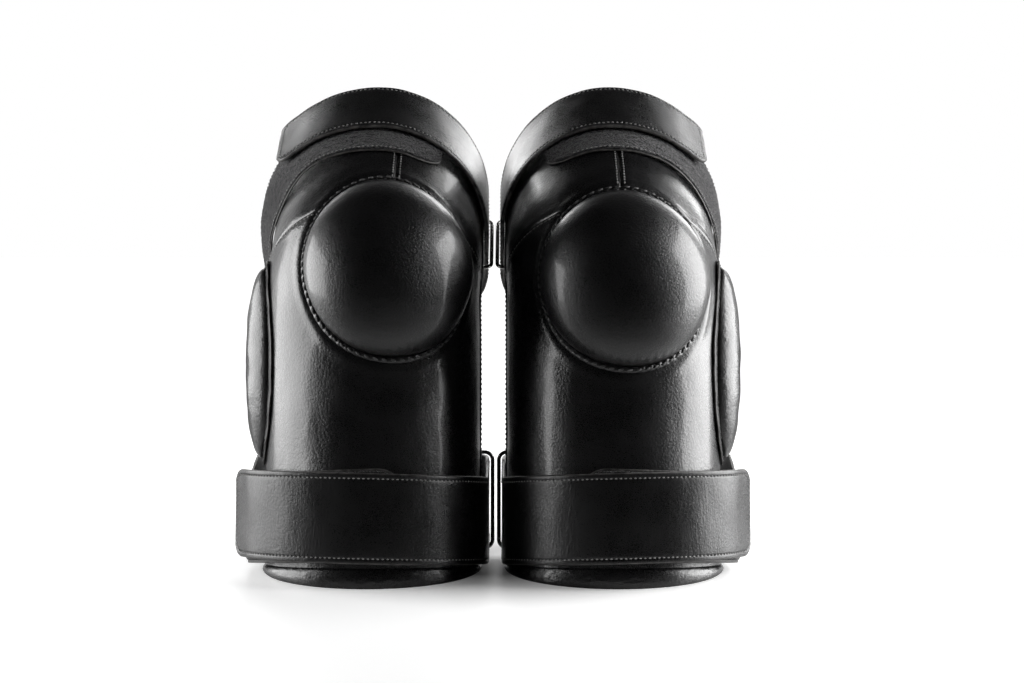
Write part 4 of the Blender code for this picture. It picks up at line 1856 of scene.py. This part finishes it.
    def band_point(self, u: float, off: float, t: float) -> Vector:
        """A point of the band. Its lower edge is pulled in against the shell on the outer side.

        Args:
            u: station.
            off: distance outside the loop.
            t: distance from the middle line.

        Returns:
            The point.
        """
        loop = self.loop
        point = self.at(u, off, loop.band_shift(u) + t, loop.band_inner_half)
        slack = loop.outer_half - loop.section[0] - 0.3 * MM
        pull = ease(-t, -6 * MM, 25 * MM) * ease(u, 0.25, 0.75) * (1 - ease(u, 1.5, 2.3))
        return point - Vector((slack * pull * loop.hug, 0, 0))

    def strap_point(self, u: float, off: float, t: float) -> Vector:
        """A point of the strap. Its free end runs on straight, a little off the band.

        Args:
            u: station.
            off: distance outside the loop.
            t: distance from the middle line.

        Returns:
            The point.
        """
        loop = self.loop
        bent = min(u, loop.flare)
        point = self.at(bent, off, loop.strap_shift(u) + t)
        if u > bent:
            along = self.at(bent + 0.01, off, 0.0) - self.at(bent - 0.01, off, 0.0)
            point += along.normalized() * (u - bent) * self.station
        return point

    def across_joint(self, made: bpy.types.Object, joint: str) -> None:
        """Bakes a strap piece's place into its mesh. Its bodies and ends over a peel line go unused.

        Args:
            made: the piece.
            joint: peel or tip.
        """
        loop = self.loop
        if joint == "peel":
            bodies, zone = (self.bench.fit.body, self.body("strap")), (loop.peel - 0.13, loop.peel + 0.13)
        else:
            bodies, zone = (self.body("strap"), self.body("tip")), (loop.tip_peel, loop.tip_peel + 0.24)
        ends = [self.bench.placed(self.at(u, self.strap_base, 0.0)) for u in zone]
        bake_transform(made)

    def face_track(self, places: Iterable[tuple[float, float]], off: float,
                   point_at: Callable[[float, float, float], Vector]) -> Track:
        """A line on a strap's face, through (station, distance from its middle line).

        Args:
            places: the places.
            off: of the face.
            point_at: as for swept().

        Returns:
            The line.
        """
        track = []
        for u, t in places:
            low = point_at(u, off, t)
            track.append((low, (point_at(u, off + 5 * MM, t) - low).normalized()))
        return track

    def strap(self) -> None:
        """The strap in two pieces that meet between the peel lines, each with its stitches."""
        loop, finishes = self.loop, self.bench.finishes
        outline = self.outline(self.width, self.strap_base, self.strap_thick, 0.35 * MM)
        face = self.strap_base + self.strap_thick
        inset = self.width / 2 - self.stitch_inset
        back = self.stations(loop.strap_start, self.middle)
        work = self.swept(back, outline, self.strap_point, 0.7 * MM)
        made = self.bench.piece(f"{loop.name}_strap_rear", work, finishes.strap, "strap_leather")
        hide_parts(self.body("strap_root"))
        self.across_joint(made, "peel")
        rows = [self.face_track([(u, side * inset) for u, _ in back], face, self.strap_point)
                for side in (-1, 1)]
        self.stitch_piece("strap_rear_stitches", rows, "peel")
        front = self.stations(self.middle, loop.strap_end, end_radius=self.strap_corner)
        work = self.swept(front, outline, self.strap_point, 0.7 * MM)
        made = self.bench.piece(f"{loop.name}_strap_front", work, finishes.strap, "strap_leather")
        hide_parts(self.body("strap_middle"), self.body("strap_tip"))
        self.across_joint(made, "tip")
        self.stitch_piece("strap_front_stitches", [self.end_row(inset, face)], "tip")

    def end_row(self, inset: float, face: float) -> Track:
        """The stitched line round the strap's free end.

        Args:
            inset: from the middle line to the row.
            face: off of the strap's face.

        Returns:
            The line.
        """
        radius = self.strap_corner - self.stitch_inset
        last = self.loop.strap_end - (self.stitch_inset + radius) / self.station
        low = [(u, -inset) for u in spaced(self.middle, last, 50)]
        turn_low = [(last + radius * math.sin(a) / self.station, -inset + radius * (1 - math.cos(a)))
                    for a in spaced(0, math.pi / 2, 8)[1:]]
        rise = [(turn_low[-1][0], t) for t in spaced(turn_low[-1][1], -turn_low[-1][1], 12)[1:]]
        places = low + turn_low + rise + [(u, -t) for u, t in reversed(low + turn_low[:-1])]
        return self.face_track(places, face, self.strap_point)

    def stitch_piece(self, name: str, rows: list[Track], joint: str | None) -> None:
        """Stitches on this belt, baked in place with the strap or fixed to the shell.

        Args:
            name: of the piece.
            rows: the lines.
            joint: peel, tip or None for the shell.
        """
        work = sewn(rows, 3.4 * MM, 2.0 * MM, 0.52 * MM, lift=0.05 * MM)
        made = self.bench.piece(f"{self.loop.name}_{name}", work, self.bench.finishes.thread,
                                "strap_leather")
        if joint:
            self.across_joint(made, joint)
        else:
            self.bench.fixed(made)

    def band(self) -> None:
        """The leather backing and the loop fabric sewn on it."""
        loop, finishes = self.loop, self.bench.finishes
        backing = self.stations(loop.band_start, loop.band_end, start_radius=20 * MM)
        outline = self.outline(self.width + 1.0 * MM, 0.8 * MM, 1.2 * MM, 0.0)
        work = self.swept(backing, outline, self.band_point, 1.6 * MM)
        made = self.bench.piece(f"{loop.name}_band_backing", work, finishes.binding, "strap_leather")
        self.bench.fixed(made, f"{loop.name}_band")
        inset, count = self.nap_inset, self.nap_rows
        nap = doubled(self.stations(loop.band_start + inset / self.station, loop.band_end - 0.05,
                                    start_radius=18 * MM))
        half = self.width / 2 - inset

        def place(i: int, j: int) -> Spot:
            """A point of the loop fabric, with its fibres.

            Args:
                i: column.
                j: row.

            Returns:
                The point and its wear.
            """
            u, cut = nap[i]
            t = (2 * j / count - 1) * (half - cut)
            rim = hump(half - abs(2 * j / count - 1) * half, 1.0 * MM)
            fibre = noise.cell(Vector((i + 0.5, j + 0.5, 3.5)))
            stray = noise.cell_vector(Vector((i + 0.5, j + 0.5, 8.5))) * 0.5 * MM
            off = 2.95 * MM + 0.75 * MM * fibre - 0.5 * MM * rim
            return self.band_point(u + stray.x / self.station, off, t + stray.y), 0.0

        work = bent_grid(len(nap) - 1, count, place)
        made = self.bench.piece(f"{loop.name}_band_loops", work, finishes.loop, "loop_fabric")
        thicken(made, 1.0 * MM)
        self.bench.fixed(made)
        edge = self.width / 2 - inset - 1.6 * MM
        rows = [self.face_track([(u, side * edge) for u in spaced(loop.band_start + 0.18, 3.7, 260)],
                                3.2 * MM, self.band_point) for side in (-1, 1)]
        self.stitch_piece("band_stitches", rows, None)

    def hook_tape(self) -> None:
        """The hook tape under the strap's free end."""
        loop = self.loop
        stations = self.stations(loop.tip_peel + 0.04, loop.strap_end - 0.06)
        outline = self.outline(50 * MM, 3.9 * MM, 1.2 * MM, 0.0)
        work = self.swept(stations, outline, self.strap_point, 0.1 * MM)
        made = self.bench.piece(f"{loop.name}_hook_tape", work, self.bench.finishes.hook, "hook_tape")
        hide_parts(self.body("hook_tape"))
        self.across_joint(made, "tip")

    def ring(self) -> None:
        """The plated guide ring."""
        loop = self.loop
        inner = self.eye - loop.section[0]
        outer = -(loop.inner_half + self.strap_base + self.strap_thick + 1.0 * MM + self.wire)
        half = self.width / 2 + 3.0 * MM + self.wire
        shift = loop.strap_shift(loop.ring_station())
        corner = 6 * MM
        path = []
        corners = ((inner - corner, half - corner, 0), (outer + corner, half - corner, 90),
                   (outer + corner, corner - half, 180), (inner - corner, corner - half, 270))
        for n, (x, along, start) in enumerate(corners):
            for turn in spaced(0, 90, 8):
                angle = math.radians(start + turn)
                path.append(Vector((x + corner * math.cos(angle), loop.ring_depth,
                                    shift + along + corner * math.sin(angle))))
            following = corners[(n + 1) % 4]
            ahead = math.radians(following[2])
            target = Vector((following[0] + corner * math.cos(ahead), loop.ring_depth,
                             shift + following[1] + corner * math.sin(ahead)))
            path += [path[-1].lerp(target, share) for share in (0.2, 0.4, 0.6, 0.8)]
        work = tube([self.plane @ point for point in path], self.wire, 16)
        made = self.bench.piece(f"{loop.name}_ring", work, self.bench.finishes.plate, "plated_steel")
        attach(made, self.body("ring"))
        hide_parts(self.body("ring"))

    def tab(self) -> None:
        """The leather tab folded round the ring's inner bar and sewn inside the shell."""
        loop, form = self.loop, self.bench.form
        eye_x, eye_depth = self.eye - loop.section[0], loop.ring_depth
        flat = form.wall + 1.9 * MM - loop.section[0]
        radius, layer = 2.9 * MM, 0.95 * MM
        shift = loop.strap_shift(loop.ring_station())
        start = eye_depth - loop.tab_length
        begin = math.acos((flat - eye_x) / (radius + layer))
        line = [(flat, depth) for depth in spaced(start, eye_depth - 5.5 * MM, 10)]
        for turn in spaced(-begin - 0.25, -2 * math.pi + begin * 0.55, 24):
            line.append((eye_x + radius * math.cos(turn), eye_depth + radius * math.sin(turn)))
        line += [(flat + layer * 1.05, depth) for depth in spaced(eye_depth - 5.5 * MM, start, 10)]
        half = 18 * MM

        def place(i: int, j: int) -> Spot:
            """A point of the tab.

            Args:
                i: column.
                j: row.

            Returns:
                The point and its wear.
            """
            x, depth = line[i]
            t = half * (2 * j / 12 - 1)
            wear_and_highlight = 0.7 * hump(abs(t) - half, 1.5 * MM)
            return self.plane @ Vector((x, depth, shift + t)), wear_and_highlight

        work = bent_grid(len(line) - 1, 12, place)
        bmesh.ops.solidify(work, geom=work.faces[:], thickness=0.8 * MM)
        bmesh.ops.recalc_face_normals(work, faces=work.faces)
        made = self.bench.piece(f"{loop.name}_ring_tab", work, self.bench.finishes.binding, "leather")
        self.bench.fixed(made, f"{loop.name}_ring_tab")

    def lap(self) -> None:
        """The sewn lap behind the leg, where the band meets the strap's root."""
        u_low, u_high = self.loop.strap_start + 0.05, self.loop.strap_start + 0.22
        t = self.width / 2 - 7 * MM
        corners = [(u_low, -t), (u_high, -t), (u_high, t), (u_low, t), (u_low, -t)]
        rows = []
        for (u0, t0), (u1, t1) in zip(corners, corners[1:]):
            places = [(u0 + (u1 - u0) * s, t0 + (t1 - t0) * s) for s in spaced(0, 1, 12)]
            rows.append(self.face_track(places, self.strap_base + self.strap_thick, self.strap_point))
        self.stitch_piece("lap_stitches", rows, None)

    def build(self) -> None:
        """Makes every piece of the belt."""
        self.band()
        self.strap()
        self.hook_tape()
        self.ring()
        self.tab()
        self.lap()


@dataclass
class KneeGuard:
    """One guard, put together from its sub-assemblies."""

    form: ShellForm
    fit: GuardFit
    finishes: Finishes

    def build(self) -> None:
        """Makes the shell, the dome, the roll and both belts."""
        bench = Bench(self.form, self.fit, self.finishes)
        Shell(bench).build()
        KneeDome(bench).build()
        SideRoll(bench).build()
        Belt(bench, replace(LOWER, inner_half=self.fit.lower_inner)).build()
        Belt(bench, replace(UPPER, outer_half=self.fit.upper_outer)).build()
        LOG.info("the %s guard is dressed", self.fit.label)


# ---- the studio ----


@dataclass(frozen=True)
class SoftBox:
    """A rectangular light: its place and size in metres, and its power in watts."""

    name: str
    at: tuple[float, float, float]
    size: tuple[float, float]
    power: float


SOFT_BOXES = (
    SoftBox("left_box", (-1.15, 0.04, 0.32), (1.2, 0.8), 20.4),
    SoftBox("right_box", (1.12, 0.09, 0.45), (0.95, 1.1), 34),
    SoftBox("rear_box", (0.05, 0.68, 0.52), (1.1, 0.3), 4.5),
)


@dataclass
class Studio:
    """A pale floor, a soft box on either side, a long one behind, and the camera."""

    form: ShellForm
    distance: float = 1.5
    pitch: float = math.radians(4.5)
    aim: tuple[float, float] = (0.014, 0.1692)  # x and height
    lens: float = 71.7

    def floor(self) -> None:
        """The floor: its glow keeps it pale under soft light, and a painted shadow dims it round the middle.
        """
        work = bmesh.new()
        bmesh.ops.create_grid(work, x_segments=4, y_segments=4, size=6.0)
        data = bpy.data.meshes.new("studio_floor")
        work.to_mesh(data)
        work.free()
        material = bpy.data.materials.new("pale_floor")
        material.use_nodes = True
        shader = material.node_tree.nodes["Principled BSDF"]
        shader.inputs["Roughness"].default_value = 0.3
        shader.inputs["Emission Color"].default_value = (1, 1, 1, 1)
        shade = Shade(material.node_tree)
        seen = shade.node("LightPath").outputs["Is Camera Ray"]
        away = shade.node("VectorMath", operation="LENGTH")
        shade.feed(away.inputs[0], shade.node("TexCoord").outputs["Object"])
        # Painted shadow: the floor's glow drops almost to nothing round the middle of the pair.
        painted_shadow = shade.ranged(away.outputs["Value"], 0.08, 0.2, (-0.4, 0.0))
        glow = shade.math("ADD", shade.ranged(away.outputs["Value"], 0.4, 1.4, (0.42, 1.0)), painted_shadow)
        # Painted shade in reflections: other rays see a dark floor, lighter near the guards, which sets what
        # the leather reflects.
        near = shade.ranged(away.outputs["Value"], 0.25, 0.5, (1.0, 0.0))
        dimmed = shade.mix(near, (0.22, 0.22, 0.22, 1), (0.8, 0.8, 0.8, 1))
        tint = shade.mix(seen, dimmed, (0.88, 0.88, 0.88, 1))
        shade.feed(shader.inputs["Base Color"], tint)
        shade.feed(shader.inputs["Emission Strength"], shade.math("MULTIPLY", seen, glow))
        data.materials.append(material)
        made = bpy.data.objects.new("studio_floor", data)
        bpy.context.scene.collection.objects.link(made)

    def light(self, box: SoftBox) -> None:
        """Puts up a soft box that faces the middle of the pair.

        Args:
            box: its place, size and power.
        """
        light = bpy.data.lights.new(box.name, "AREA")
        light.shape = "RECTANGLE"
        light.size, light.size_y = box.size
        light.energy = box.power
        made = bpy.data.objects.new(box.name, light)
        made.location = box.at
        towards = Vector((0, self.form.front_y + 0.08, 0.17)) - made.location
        made.rotation_euler = towards.to_track_quat("-Z", "Y").to_euler()
        bpy.context.scene.collection.objects.link(made)

    def world(self) -> None:
        """White to look at. The light that it gives comes from behind and fades to dark in front."""
        world = bpy.data.worlds.new("studio_air")
        bpy.context.scene.world = world
        world.use_nodes = True
        shade = Shade(world.node_tree)
        back = world.node_tree.nodes["Background"]
        coords = shade.node("TexCoord")
        apart = shade.node("SeparateXYZ", Vector=coords.outputs["Generated"])
        low = shade.math("MULTIPLY_ADD", apart.outputs["Z"], -0.8, apart.outputs["Y"])
        glow = shade.ranged(low, 0.15, 0.8, (0.01, 0.6))
        seen = shade.node("LightPath").outputs["Is Camera Ray"]
        strength = shade.math("MAXIMUM", glow, seen)
        back.inputs["Color"].default_value = (1, 1, 1, 1)
        shade.feed(back.inputs["Strength"], strength)

    def camera(self) -> None:
        """The camera, level with the knees and a little above."""
        data = bpy.data.cameras.new("studio_camera")
        data.lens = self.lens
        data.sensor_width = 36
        made = bpy.data.objects.new("studio_camera", data)
        aim = Vector((self.aim[0], self.form.front_y + self.form.shin_section[1], self.aim[1]))
        away = Vector((0, -math.cos(self.pitch), math.sin(self.pitch)))
        made.location = aim + self.distance * away
        made.rotation_euler = (-away).to_track_quat("-Z", "Y").to_euler()
        bpy.context.scene.collection.objects.link(made)
        bpy.context.scene.camera = made

    def build(self) -> None:
        """Sets up the whole studio."""
        self.floor()
        self.world()
        for box in SOFT_BOXES:
            self.light(box)
        self.camera()
        bpy.context.scene.view_settings.view_transform = "Standard"


# ---- the pair ----


def form_from_frame() -> ShellForm:
    """The form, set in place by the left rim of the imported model.

    Returns:
        The form with its front and spacing as packed.
    """
    rim_lip = 0.4 * MM
    low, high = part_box("left_bottom_rim")
    return ShellForm(front_y=low[1] + rim_lip, spacing=-(low[0] + high[0]) / 2)


def main() -> None:
    """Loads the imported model, dresses both guards and sets up the studio."""
    logging.basicConfig(level=logging.INFO, format="%(message)s")
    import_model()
    form = form_from_frame()
    finishes = Finishes()
    for fit in (RIGHT, LEFT):
        KneeGuard(form, fit, finishes).build()
    Studio(form).build()


if __name__ == "__main__":
    main()
